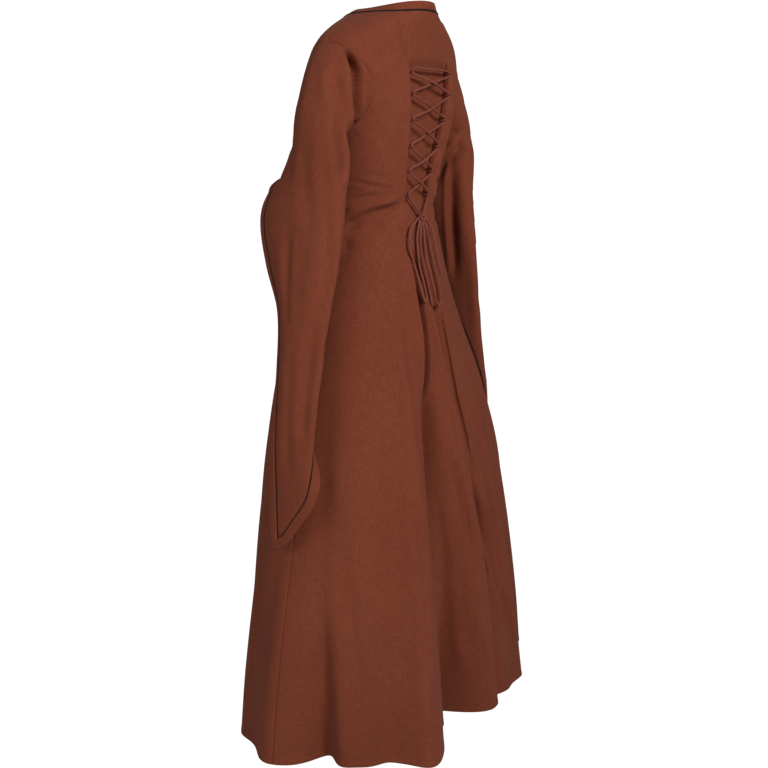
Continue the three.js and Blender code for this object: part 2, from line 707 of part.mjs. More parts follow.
function addBody() {
  const left = () => SIDE_SEAM_ANGLE;
  const right = () => -SIDE_SEAM_ANGLE;
  const rightRound = () => 360 - SIDE_SEAM_ANGLE;
  const laceLeft = (height) => lacingAngle('left', height);
  const laceRight = (height) => lacingAngle('right', height);
  const front = panel(left, rightRound, PANEL_COLUMNS.front);
  addPiece('front_panel', cutArmholes(front, ['left', 'right']), CLOTH_COLOUR, 0.9);
  const backLeft = panel(laceLeft, left, PANEL_COLUMNS.sideBack);
  addPiece('side_back_left', cutArmholes(backLeft, ['left']), CLOTH_COLOUR, 0.9);
  const backRight = panel(right, laceRight, PANEL_COLUMNS.sideBack);
  addPiece('side_back_right', cutArmholes(backRight, ['right']), CLOTH_COLOUR, 0.9);
  addPiece('centre_back', panel(laceRight, laceLeft, PANEL_COLUMNS.centreBack), CLOTH_COLOUR, 0.9);
  addPiece('neck_band', neckBand(), CLOTH_COLOUR, 0.9);
  addPiece('neck_piping', neckPiping(), PIPING_COLOUR, 0.7);
}

function addSleeves() {
  const { points, triangles, mouth } = sleeveSurface();
  const frames = edgeFrames(points, triangles, mouth);
  const bandStart = 2 * PIPING_GAP + 2 * PIPING_RADIUS;
  const sleeve = clothWall(points, triangles);
  const band = bandBeyond(frames, bandStart, bandStart + BAND_WIDTH);
  const piping = pipingBeyond(frames);
  addPiece('sleeve_left', sleeve, CLOTH_COLOUR, 0.9);
  addPiece('sleeve_right', mirroredSolid(sleeve), CLOTH_COLOUR, 0.9);
  addPiece('cuff_band_left', band, CLOTH_COLOUR, 0.9);
  addPiece('cuff_band_right', mirroredSolid(band), CLOTH_COLOUR, 0.9);
  addPiece('cuff_piping_left', piping, PIPING_COLOUR, 0.7);
  addPiece('cuff_piping_right', mirroredSolid(piping), PIPING_COLOUR, 0.7);
}

function addLacing() {
  const knot = knotCentre();
  const first = laceRoute('right', CROSSING_LIFT.under, knot);
  const second = laceRoute('left', CROSSING_LIFT.over, knot);
  const barEnd = second[0].clone().add(new THREE.Vector3(-LACE_RADIUS - 1, 0, 3));
  const bar = [barEnd];
  for (const share of [0.3, 0.5, 0.7]) {
    const across = THREE.MathUtils.lerp(loopShare('left'), loopShare('right'), share);
    bar.push(betweenLoops(across, LOOP_HEIGHTS[0] + BAR_RISE, LOOP.lift));
  }
  addPiece('loop_strip_left', loopStrip('left'), CLOTH_COLOUR, 0.9);
  addPiece('loop_strip_right', loopStrip('right'), CLOTH_COLOUR, 0.9);
  addPiece('lace_strand_1', cordTube([...bar, ...first]), LACE_COLOUR, 0.85);
  addPiece('lace_strand_2', cordTube(second), LACE_COLOUR, 0.85);
  addPiece('lace_knot', knotBall(), LACE_COLOUR, 0.85);
  addPiece('bow_loop_left', hangingCord(hangingStrand(BOW_LOOP_LEFT, true)), LACE_COLOUR, 0.85);
  addPiece('bow_loop_right', hangingCord(hangingStrand(BOW_LOOP_RIGHT, true)), LACE_COLOUR, 0.85);
  addPiece('lace_tail_left', hangingCord(hangingStrand(LACE_TAIL_LEFT, false)), LACE_COLOUR, 0.85);
  addPiece('lace_tail_right', hangingCord(hangingStrand(LACE_TAIL_RIGHT, false)), LACE_COLOUR, 0.85);
}

addBody();
addSleeves();
addLacing();
gown.position.z = -SHOULDER_HEIGHT;

export default gown;
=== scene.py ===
import bpy
import numpy as np
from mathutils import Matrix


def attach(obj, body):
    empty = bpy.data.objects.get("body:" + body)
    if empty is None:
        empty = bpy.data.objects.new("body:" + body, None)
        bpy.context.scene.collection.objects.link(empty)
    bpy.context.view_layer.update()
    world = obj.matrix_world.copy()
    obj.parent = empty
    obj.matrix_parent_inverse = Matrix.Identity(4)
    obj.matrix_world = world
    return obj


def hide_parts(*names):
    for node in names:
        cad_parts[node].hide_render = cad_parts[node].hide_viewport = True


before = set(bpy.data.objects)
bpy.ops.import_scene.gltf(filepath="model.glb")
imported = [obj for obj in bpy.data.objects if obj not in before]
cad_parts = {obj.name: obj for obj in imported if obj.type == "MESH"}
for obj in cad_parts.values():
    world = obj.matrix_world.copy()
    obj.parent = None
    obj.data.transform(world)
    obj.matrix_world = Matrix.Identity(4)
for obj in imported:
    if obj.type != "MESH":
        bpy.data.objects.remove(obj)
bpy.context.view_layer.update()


# Form of the gown on its wearer: bodice and skirt are one tube of rust-brown plain-weave cotton, cut in four
# panels. Tables are in millimetres above the hem; angles go round from the back centre, the wearer's left positive.
WAIST = 1075
SHOULDER = 1420
BODY = [  # height, half width, depth in front of the shoulder line, depth behind it
    (0, 345, 249, 250), (140, 335, 247, 232), (317, 312, 241, 208), (466, 286, 236, 186), (637, 250, 227, 160),
    (780, 215, 210, 135), (900, 180, 182, 112), (980, 158, 156, 95), (1075, 137, 130, 80), (1135, 142, 128, 86),
    (1200, 156, 136, 98), (1245, 168, 138, 107), (1290, 178, 130, 112), (1335, 184, 114, 112),
    (1370, 184, 92, 107), (1395, 172, 72, 105), (1415, 149, 56, 105), (1430, 122, 47, 106), (1444, 92, 40, 107),
    (1455, 74, 34, 108), (1470, 66, 28, 106),
]
FOLDS = [  # angle at the waist, at the hem, height of the start, how far out half way and at the hem, half width
    (95, 93, 760, 6, 26, 44), (84, 76, 680, -6, -56, 32), (74, 64, 700, 4, -8, 34), (60, 52, 520, -5, -12, 26),
    (47, 35, 900, 16, 46, 38), (33, -3, 760, -42, -122, 54), (25, -27, 1040, 12, -8, 26),
    (10, -36, 1040, -46, -30, 24), (-25, -56, 1040, 16, 32, 30), (-42, -68, 860, -26, 20, 24),
    (-58, -80, 940, 68, 112, 36), (-78, -94, 640, -8, -20, 28), (-98, -110, 700, 5, 16, 36),
    (-122, -128, 620, -6, -16, 32), (-142, -146, 820, 8, 18, 36), (-160, -163, 700, -8, -20, 30),
    (178, 179, 860, 8, 16, 38), (158, 161, 740, -7, -18, 30), (140, 144, 840, 8, 20, 38), (114, 114, 600, 5, 18, 40),
]
BUST = (1225, 152, 14, 62, 19)  # height, angle, depth, half span in height and in angle
HOLLOW = (46, 15.5, 7.6, 840, 250)  # beside the near fold of the skirt: depth, angle, half width, top, run-in
LACING = [(1075, 37), (1145, 45), (1247, 60), (1340, 70), (1470, 54)]  # height, half way across
LACING_HEM = {"left": -20, "right": -56}
NECK = (1466, 1452, 1366)  # height at the back, over the shoulders, in front


def along(rows, column, place):
    """A smooth value from a table at each place, through its rows."""
    rows = sorted(rows)
    keys = np.array([row[0] for row in rows], float)
    values = np.array([row[column] for row in rows], float)
    place = np.asarray(place, float)
    i = np.clip(np.searchsorted(keys, place, side="right") - 1, 0, len(keys) - 2)
    before, after = np.maximum(i - 1, 0), np.minimum(i + 2, len(keys) - 1)
    span = keys[i + 1] - keys[i]
    t = np.clip((place - keys[i]) / span, 0, 1)
    slope_a = (values[i + 1] - values[before]) / (keys[i + 1] - keys[before]) * span
    slope_b = (values[after] - values[i]) / (keys[after] - keys[i]) * span
    return ((2 * t**3 - 3 * t**2 + 1) * values[i] + (t**3 - 2 * t**2 + t) * slope_a
            + (3 * t**2 - 2 * t**3) * values[i + 1] + (t**3 - t**2) * slope_b)


def smooth_step(value):
    t = np.clip(value, 0, 1)
    return t * t * (3 - 2 * t)


def bell(distance, width):
    return np.exp(-((distance / width) ** 2))


def turn(start, end):
    """The angle from start to end, from -180 to 180 degrees."""
    return (end - start + 180) % 360 - 180


def base_radius(angle, height):
    sine, cosine = np.abs(np.sin(np.radians(angle))), np.cos(np.radians(angle))
    depth = np.where(cosine > 0, along(BODY, 3, height), along(BODY, 2, height))
    power = 2 + 0.3 * smooth_step((height - WAIST) / 150)
    total = (sine / along(BODY, 1, height)) ** power + (np.abs(cosine) / depth) ** power
    return total ** (-1 / power)


def hanging_angle(waist, hem, height):
    """A fold or a seam hangs straight from the waist to the hem, so its angle changes with the height."""
    down = np.clip(1 - np.asarray(height, float) / WAIST, 0, 1)
    ends = []
    for angle, level in ((waist, WAIST), (hem, 0)):
        radius = base_radius(angle, level)
        ends.append((radius * np.sin(np.radians(angle)), radius * np.cos(np.radians(angle))))
    x = ends[0][0] + (ends[1][0] - ends[0][0]) * down
    y = ends[0][1] + (ends[1][1] - ends[0][1]) * down
    return np.degrees(np.arctan2(x, y))


def fold_depth(fold, angle, height):
    waist, hem, start, middle, depth, width = fold
    down = 1 - height / start
    grown = np.where(down < 0.5, middle * smooth_step(down * 2), middle + (depth - middle) * (down - 0.5) * 2)
    centre = hanging_angle(waist, hem, height)
    arc = np.radians(turn(centre, angle)) * base_radius(centre, height)
    return np.where(down > 0, grown * bell(arc, width * (0.42 + 0.58 * np.clip(down, 0, 1))), 0)


def body_radius(angle, height):
    angle, height = np.broadcast_arrays(np.asarray(angle, float), np.asarray(height, float))
    level, side, depth, span_height, span_angle = BUST
    radius = base_radius(angle, height)
    for mirror in (1, -1):
        radius = radius + depth * bell(height - level, span_height) * bell(turn(mirror * side, angle), span_angle)
    for fold in FOLDS:
        radius = radius + fold_depth(fold, angle, height)
    return radius


def body_point(angle, height):
    """The outer face of the gown's body at an angle and a height, in millimetres above the hem."""
    angle, height = np.broadcast_arrays(np.asarray(angle, float), np.asarray(height, float))
    radius = body_radius(angle, height)
    return np.stack([radius * np.sin(np.radians(angle)), radius * np.cos(np.radians(angle)), height], -1)


def unit(vectors):
    return vectors / np.maximum(np.linalg.norm(vectors, axis=-1, keepdims=True), 1e-9)


def body_normal(angle, height):
    across = body_point(angle + 0.5, height) - body_point(angle - 0.5, height)
    up = body_point(angle, height + 2.0) - body_point(angle, height - 2.0)
    return unit(np.cross(up, across))


def lacing_angle(side, height):
    sign = 1 if side == "left" else -1
    level = np.maximum(np.asarray(height, float), WAIST)
    bodice = np.degrees(np.arctan2(along(LACING, 1, level), along(BODY, 3, level)))
    at_waist = float(np.degrees(np.arctan2(along(LACING, 1, WAIST), along(BODY, 3, WAIST))))
    hanging = hanging_angle(sign * at_waist, LACING_HEM[side], height)
    return np.where(np.asarray(height) >= WAIST, sign * bodice, hanging)


def neck_height(angle):
    cosine = np.cos(np.radians(angle))
    end = np.where(cosine > 0, NECK[0], NECK[2])
    return NECK[1] + (end - NECK[1]) * cosine**2


def below_neck(angle, distance):
    """Height of a line that runs at a set distance below the neckline, measured on the cloth."""
    top = neck_height(angle)
    step = np.linalg.norm(body_point(angle, top) - body_point(angle, top - 4.0), axis=-1) / 4
    return top - distance / step


def new_piece(name, points, faces, uvs, material):
    """A mesh from points in millimetres above the hem, with a UV in metres for each point."""
    mesh = bpy.data.meshes.new(name)
    place = np.array(points, float).reshape(-1, 3) * 0.001
    place[:, 2] -= SHOULDER * 0.001
    mesh.from_pydata(place.tolist(), [], faces)
    flat = np.array(uvs, float).reshape(-1, 2)
    corners = np.empty(len(mesh.loops), np.int32)
    mesh.loops.foreach_get("vertex_index", corners)
    mesh.uv_layers.new(name="Cut").data.foreach_set("uv", flat[corners].ravel())
    mesh.polygons.foreach_set("use_smooth", np.ones(len(mesh.polygons), bool))
    piece = bpy.data.objects.new(name, mesh)
    bpy.context.collection.objects.link(piece)
    mesh.materials.append(material)
    return piece


def grid_faces(rows, columns, closed=False, flip=False):
    """Four-cornered faces of a grid of points, counted row by row."""
    j, i = np.meshgrid(np.arange(rows - 1), np.arange(columns if closed else columns - 1), indexing="ij")
    nxt = (i + 1) % columns
    quads = np.stack([j * columns + i, j * columns + nxt, (j + 1) * columns + nxt, (j + 1) * columns + i], -1)
    quads = quads.reshape(-1, 4)
    return (quads[:, ::-1] if flip else quads).tolist()


def distances(grid, axis):
    """How far each point of a grid lies from its first row or column, along the cloth."""
    steps = np.linalg.norm(np.diff(grid, axis=axis), axis=-1)
    first = np.zeros_like(np.take(steps, [0], axis))
    return np.cumsum(np.concatenate([first, steps], axis), axis=axis)


def cut_lengths(grid):
    """For each point of a grid its distance across and along the cloth, in metres, as the cut lies flat."""
    across = distances(grid, 1)
    return np.stack([across - across[:, [across.shape[1] // 2]], distances(grid, 0)], -1) * 0.001


def creases_on(grid, normals, creases):
    """How far each point of a cloth moves out where soft creases lie, each a line of points on the cloth with a
    depth and its half widths on its two sides. A trough has a low swelling on both sides and fades at its ends."""
    moved = np.zeros(grid.shape[:-1])
    for k, (line, depth, width_one, width_two) in enumerate(creases):
        line = np.asarray(line, float)
        steps = np.linalg.norm(np.diff(line, axis=0), axis=-1)
        total, start = steps.sum(), 0.0
        wide = 3.2 * max(width_one, width_two)
        near = np.all((grid > line.min(0) - wide - 25) & (grid < line.max(0) + wide + 25), axis=-1)
        points, out = grid[near], normals[near]
        best = np.full(len(points), 1e9)
        signed, share = np.zeros(len(points)), np.zeros(len(points))
        for a, b, step in zip(line[:-1], line[1:], steps):
            way = (b - a) / step
            t = np.clip((points - a) @ way, 0, step)
            off = points - a - t[:, None] * way
            height = (off * out).sum(-1)
            flat = off - height[:, None] * out
            distance = np.where(np.abs(height) < 40, np.linalg.norm(flat, axis=-1), 1e9)
            closer = distance < best
            turned = np.sign((flat * np.cross(out, way)).sum(-1))
            best = np.where(closer, distance, best)
            signed = np.where(closer, turned, signed)
            share = np.where(closer, (start + t) / total, share)
            start += step
        width = np.where(signed > 0, width_one, width_two)
        fade = smooth_step(share / 0.22) * smooth_step((1 - share) / 0.22) * (1 + 0.22 * np.sin(9 * share + k))
        profile = bell(best, width) - 0.3 * bell(best - 2.0 * width, width * 0.9)
        moved[near] += depth * fade * profile
    return moved


def finish_with(piece, kind, **settings):
    """Adds a modifier to a piece and applies it."""
    made = piece.modifiers.new(kind.lower(), kind)
    for key, value in settings.items():
        setattr(made, key, value)
    bpy.ops.object.select_all(action="DESELECT")
    piece.select_set(True)
    bpy.context.view_layer.objects.active = piece
    bpy.ops.object.modifier_apply(modifier=made.name)


def thin_shell(piece, thickness):
    """Gives a surface the thickness of its cloth, inwards, and lets it move with the gown."""
    finish_with(piece, "SOLIDIFY", thickness=thickness, offset=-1)
    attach(piece, "root")


# Cloth: plain-weave cotton, piece-dyed rust brown, matte, with slubs in both directions. The weave and the slubs
# follow the cut of each panel; the unevenness of the dye follows the object's own space.
def socket(group, kind, name, way, value=None):
    made = group.interface.new_socket(name=name, in_out=way, socket_type=kind)
    if value is not None:
        made.default_value = value
    return made


def wire(tree, kind, inputs=(), **settings):
    node = tree.nodes.new(kind)
    for key, value in settings.items():
        setattr(node, key, value)
    for slot, value in inputs:
        if isinstance(value, bpy.types.NodeSocket):
            tree.links.new(value, node.inputs[slot])
        else:
            node.inputs[slot].default_value = value
    return node


def maths(tree, operation, *values):
    """A maths node on the values or sockets, and its result."""
    return wire(tree, "ShaderNodeMath", enumerate(values), operation=operation).outputs[0]


def plain_weave():
    """Node group: threads of a plain weave and its slubs, from a place on the cut in metres."""
    group = bpy.data.node_groups.new("plain_weave", "ShaderNodeTree")
    socket(group, "NodeSocketVector", "Place", "INPUT")
    socket(group, "NodeSocketFloat", "Threads", "INPUT", 1100.0)
    socket(group, "NodeSocketFloat", "Height", "OUTPUT")
    socket(group, "NodeSocketFloat", "Shade", "OUTPUT")
    source = wire(group, "NodeGroupInput")
    out = wire(group, "NodeGroupOutput")
    wobble = wire(group, "ShaderNodeTexNoise", [("Vector", source.outputs["Place"]), ("Scale", 35.0),
                                                ("Detail", 1.0)])
    shift = wire(group, "ShaderNodeVectorMath", [(0, wobble.outputs["Color"]), (1, (0.0016, 0.0016, 0.0))],
                 operation="MULTIPLY")
    place = wire(group, "ShaderNodeVectorMath", [(0, source.outputs["Place"]), (1, shift.outputs[0])],
                 operation="ADD")
    parts = wire(group, "ShaderNodeSeparateXYZ", [(0, place.outputs[0])])
    waves = []
    for axis in ("X", "Y"):
        turns = maths(group, "MULTIPLY", parts.outputs[axis], source.outputs["Threads"])
        waves.append(maths(group, "SINE", maths(group, "MULTIPLY", turns, np.pi)))
    over = maths(group, "MULTIPLY", *waves)
    crown = maths(group, "MAXIMUM", *[maths(group, "ABSOLUTE", wave) for wave in waves])
    weave = maths(group, "MULTIPLY_ADD", over, 0.25, crown)
    slubs = []
    for stretch in ((900.0, 42.0, 1.0), (46.0, 820.0, 1.0)):
        spread = wire(group, "ShaderNodeVectorMath", [(0, place.outputs[0]), (1, stretch)], operation="MULTIPLY")
        noise = wire(group, "ShaderNodeTexNoise", [("Vector", spread.outputs[0]), ("Scale", 1.0), ("Detail", 3.0),
                                                   ("Roughness", 0.62)])
        slubs.append(noise.outputs["Fac"])
    shade = maths(group, "MULTIPLY", maths(group, "ADD", *slubs), 0.5)
    group.links.new(maths(group, "MULTIPLY_ADD", shade, 2.2, weave), out.inputs["Height"])
    group.links.new(shade, out.inputs["Shade"])
    return group


WEAVE = plain_weave()


def cloth_material(name, dark, middle, light, threads=1100.0, bump=0.35):
    """A matte cloth, from the colour of its hollows to that of its crowns, with threads to the metre."""
    material = bpy.data.materials.new(name)
    material.use_nodes = True
    tree = material.node_tree
    shader = tree.nodes["Principled BSDF"]
    place = wire(tree, "ShaderNodeUVMap", uv_map="Cut")
    weave = wire(tree, "ShaderNodeGroup", node_tree=WEAVE)
    tree.links.new(place.outputs[0], weave.inputs["Place"])
    weave.inputs["Threads"].default_value = threads
    where = wire(tree, "ShaderNodeTexCoord")
    dye = wire(tree, "ShaderNodeTexNoise", [("Vector", where.outputs["Object"]), ("Scale", 5.5), ("Detail", 4.0),
                                            ("Roughness", 0.6)])
    mottle = wire(tree, "ShaderNodeTexNoise", [("Vector", where.outputs["Object"]), ("Scale", 190.0),
                                               ("Detail", 2.0)])
    mixed = maths(tree, "MULTIPLY_ADD", weave.outputs["Shade"], 1.15, -0.34)
    mixed = maths(tree, "MULTIPLY_ADD", dye.outputs["Fac"], 0.32, mixed)
    mixed = maths(tree, "MULTIPLY_ADD", mottle.outputs["Fac"], 0.22, mixed)
    ramp = wire(tree, "ShaderNodeValToRGB", [("Fac", mixed)])
    ramp.color_ramp.elements[0].position, ramp.color_ramp.elements[1].position = 0.25, 0.8
    ramp.color_ramp.elements[0].color = (*dark, 1)
    ramp.color_ramp.elements[1].color = (*light, 1)
    ramp.color_ramp.elements.new(0.52).color = (*middle, 1)
    tree.links.new(ramp.outputs["Color"], shader.inputs["Base Color"])
    relief = wire(tree, "ShaderNodeBump", [("Strength", bump), ("Distance", 0.00025),
                                           ("Height", weave.outputs["Height"])])
    tree.links.new(relief.outputs[0], shader.inputs["Normal"])
    shader.inputs["Roughness"].default_value = 0.92
    shader.inputs["Specular IOR Level"].default_value = 0.16
    shader.inputs["Sheen Weight"].default_value = 0.07
    shader.inputs["Sheen Roughness"].default_value = 0.55
    shader.inputs["Sheen Tint"].default_value = (0.75, 0.45, 0.36, 1)
    return material


CLOTH = cloth_material("rust_cotton", (0.128, 0.026, 0.0115), (0.184, 0.042, 0.0195), (0.245, 0.064, 0.033))
SEAM_GAP = -0.1  # millimetres: the panels' edges lap a little where they are sewn
CLOTH_WALL, BAND_WALL, STRIP_WALL = 0.0012, 0.0018, 0.0009  # metres


def seam_columns(count):
    """Columns across a panel, closer beside its two seams."""
    inner = np.linspace(0.03, 0.97, count - 7)
    return np.concatenate([[0, 0.004, 0.011, 0.02], inner, [0.98, 0.989, 0.996, 1]])


PIPING_RADIUS = 2.0
PIPING_GAP = 0.55
PIPING_SEAM = 15 + 2 * PIPING_GAP + 2 * PIPING_RADIUS  # from the top of the neck band
ROWS = np.concatenate([[0, 1.5, 6, 10.5, 12.5, 14.5], np.arange(20, WAIST, 7.0)])
BODICE_ROWS = np.arange(WAIST, 1262, 4.5)


def panel_rows(angle):
    """Heights of a panel's rows at each angle, from the hem to the seam under the neck band."""
    top = below_neck(angle, PIPING_SEAM - 2.6)
    yoke = np.linspace(0, 1, 40)[:, None] * (top - 1262)[None, :] + 1262
    low = np.concatenate([ROWS, BODICE_ROWS])[:, None] + np.zeros_like(top)[None, :]
    return np.concatenate([low, yoke], 0)


def panel_grid(start_seam, end_seam, count):
    """Angles and heights of a panel's points between two seams."""
    columns = seam_columns(count)
    angle = start_seam(WAIST) + (end_seam(WAIST) - start_seam(WAIST)) * columns
    for _ in range(3):
        heights = panel_rows(angle)
        angles = start_seam(heights) + (end_seam(heights) - start_seam(heights)) * columns[None, :]
        angle = angles[-1]
    gap = np.degrees(SEAM_GAP / 2 / base_radius(angles, heights))
    angles[:, 0] += gap[:, 0]
    angles[:, -1] -= gap[:, -1]
    return angles, heights


# Armholes: a set-in seam, an upright oval seen from the side. The panels end at it and the sleeve starts there.
ARMHOLE = (2, 1305, 78, 79)  # y, height, half depth, half height


def armhole_place(y, height):
    """0 in the middle of the armhole, 1 on its seam."""
    return np.hypot((y - ARMHOLE[0]) / ARMHOLE[2], (height - ARMHOLE[1]) / ARMHOLE[3])


def cut_armholes(grid, faces):
    """Leaves out the faces inside the armholes and draws the ragged edge that is left onto the seam's oval."""
    flat = grid.reshape(-1, 3)
    faces = np.array(faces)
    middle = flat[faces].mean(axis=1)
    inside = (armhole_place(middle[:, 1], middle[:, 2]) < 1) & (np.abs(middle[:, 0]) > 100)
    rim = np.intersect1d(faces[inside].ravel(), faces[~inside].ravel())
    for _ in range(2):
        share = armhole_place(flat[rim, 1], flat[rim, 2])[:, None]
        centre = np.array(ARMHOLE[:2])
        on_seam = centre + (flat[rim, 1:] - centre) / share
        flat[rim, 1:] = on_seam
        flat[rim, 0] = np.sign(flat[rim, 0]) * side_of_body(on_seam[:, 0], on_seam[:, 1])
    return flat.reshape(grid.shape), faces[~inside].tolist()


def side_of_body(y, height):
    """Half width of the gown's body at a place seen from the side."""
    depth = np.where(y > 0, along(BODY, 3, height), along(BODY, 2, height))
    share = np.minimum(np.abs(y) / depth, 1)
    return along(BODY, 1, height) * (1 - share**2.3) ** (1 / 2.3)


def seam_roll(grid, normals):
    """Rolls the two side edges of a panel in a little, where its seams are sewn."""
    across = distances(grid, 1)
    roll = bell(across, 2.4) + bell(across[:, -1:] - across, 2.4)
    return grid - normals * roll[..., None] * 0.9


def hold_edges(grid, heights):
    """1 on a panel, falling to 0 at its top, at its hem and at the armhole, where the sewing holds it."""
    from_armhole = np.where(np.abs(grid[..., 0]) > 90, armhole_place(grid[..., 1], grid[..., 2]) - 1, 9)
    ends = smooth_step((heights + 12) / 30) * smooth_step((heights[-1:] - heights) / 14)
    return ends * smooth_step(from_armhole / 0.12)


LOOP_HEIGHTS = (1333, 1293, 1245, 1195, 1147, 1100)


def laced_pull(name, grid, heights):
    """Beside the lacing the side backs lie over the centre back, which sinks a little between them."""
    laced = smooth_step((heights - 1078) / 30) * smooth_step((1362 - heights) / 24)
    across = distances(grid, 1)
    back = across[:, -1:] - across
    if name.startswith("centre"):
        return -laced * (2.0 + 7.0 * smooth_step(across / 14) * smooth_step(back / 14))
    if name.startswith("side_back_left"):
        return laced * 4.6 * bell(across, 8)
    if name.startswith("side_back_right"):
        nearest = np.abs(heights[..., None] - np.array(LOOP_HEIGHTS)).min(-1)
        pulled = 1 - 0.55 * bell(nearest, 13)
        return laced * (9.5 * pulled * bell(np.maximum(back - 9, 0), 10) - 5.5 * bell(back, 5))
    return 0 * laced


def hem_turn(grid, normals, heights):
    """The hem is turned up once and stitched: a little thicker below the line of stitches, dented on it."""
    rise = 0.45 * smooth_step((12.5 - heights) / 2) - 0.55 * bell(heights - 12.5, 1.6)
    return grid + normals * rise[..., None]


def body_panel(name, node, start_seam, end_seam, count, armholes=True):
    """A panel of the gown between two seams, with the creases that lie on it."""
    angles, heights = panel_grid(start_seam, end_seam, count)
    grid = body_point(angles, heights)
    uvs = cut_lengths(grid)
    normals = body_normal(angles, heights)
    lines = []
    for line, depth, width_one, width_two in CREASES:
        places = np.array(line, float)
        lines.append((body_point(places[:, 0], places[:, 1]), depth, width_one, width_two))
    depth, angle, half_width, top, run_in = HOLLOW
    sunk = depth * smooth_step((top - heights) / run_in) * bell(angles - angle, half_width)
    outward = unit(grid * np.array([1, 1, 0]))
    grid = grid + normals * (creases_on(grid, normals, lines) * hold_edges(grid, heights))[..., None]
    grid = grid - outward * sunk[..., None]
    grid = hem_turn(seam_roll(grid, normals), normals, heights)
    grid = grid + normals * laced_pull(name, grid, heights)[..., None]
    faces = grid_faces(*grid.shape[:2], flip=True)
    if armholes:
        grid, faces = cut_armholes(grid, faces)
    piece = new_piece(name, grid, faces, uvs, CLOTH)
    thin_shell(piece, CLOTH_WALL)
    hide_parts(node)
    return piece


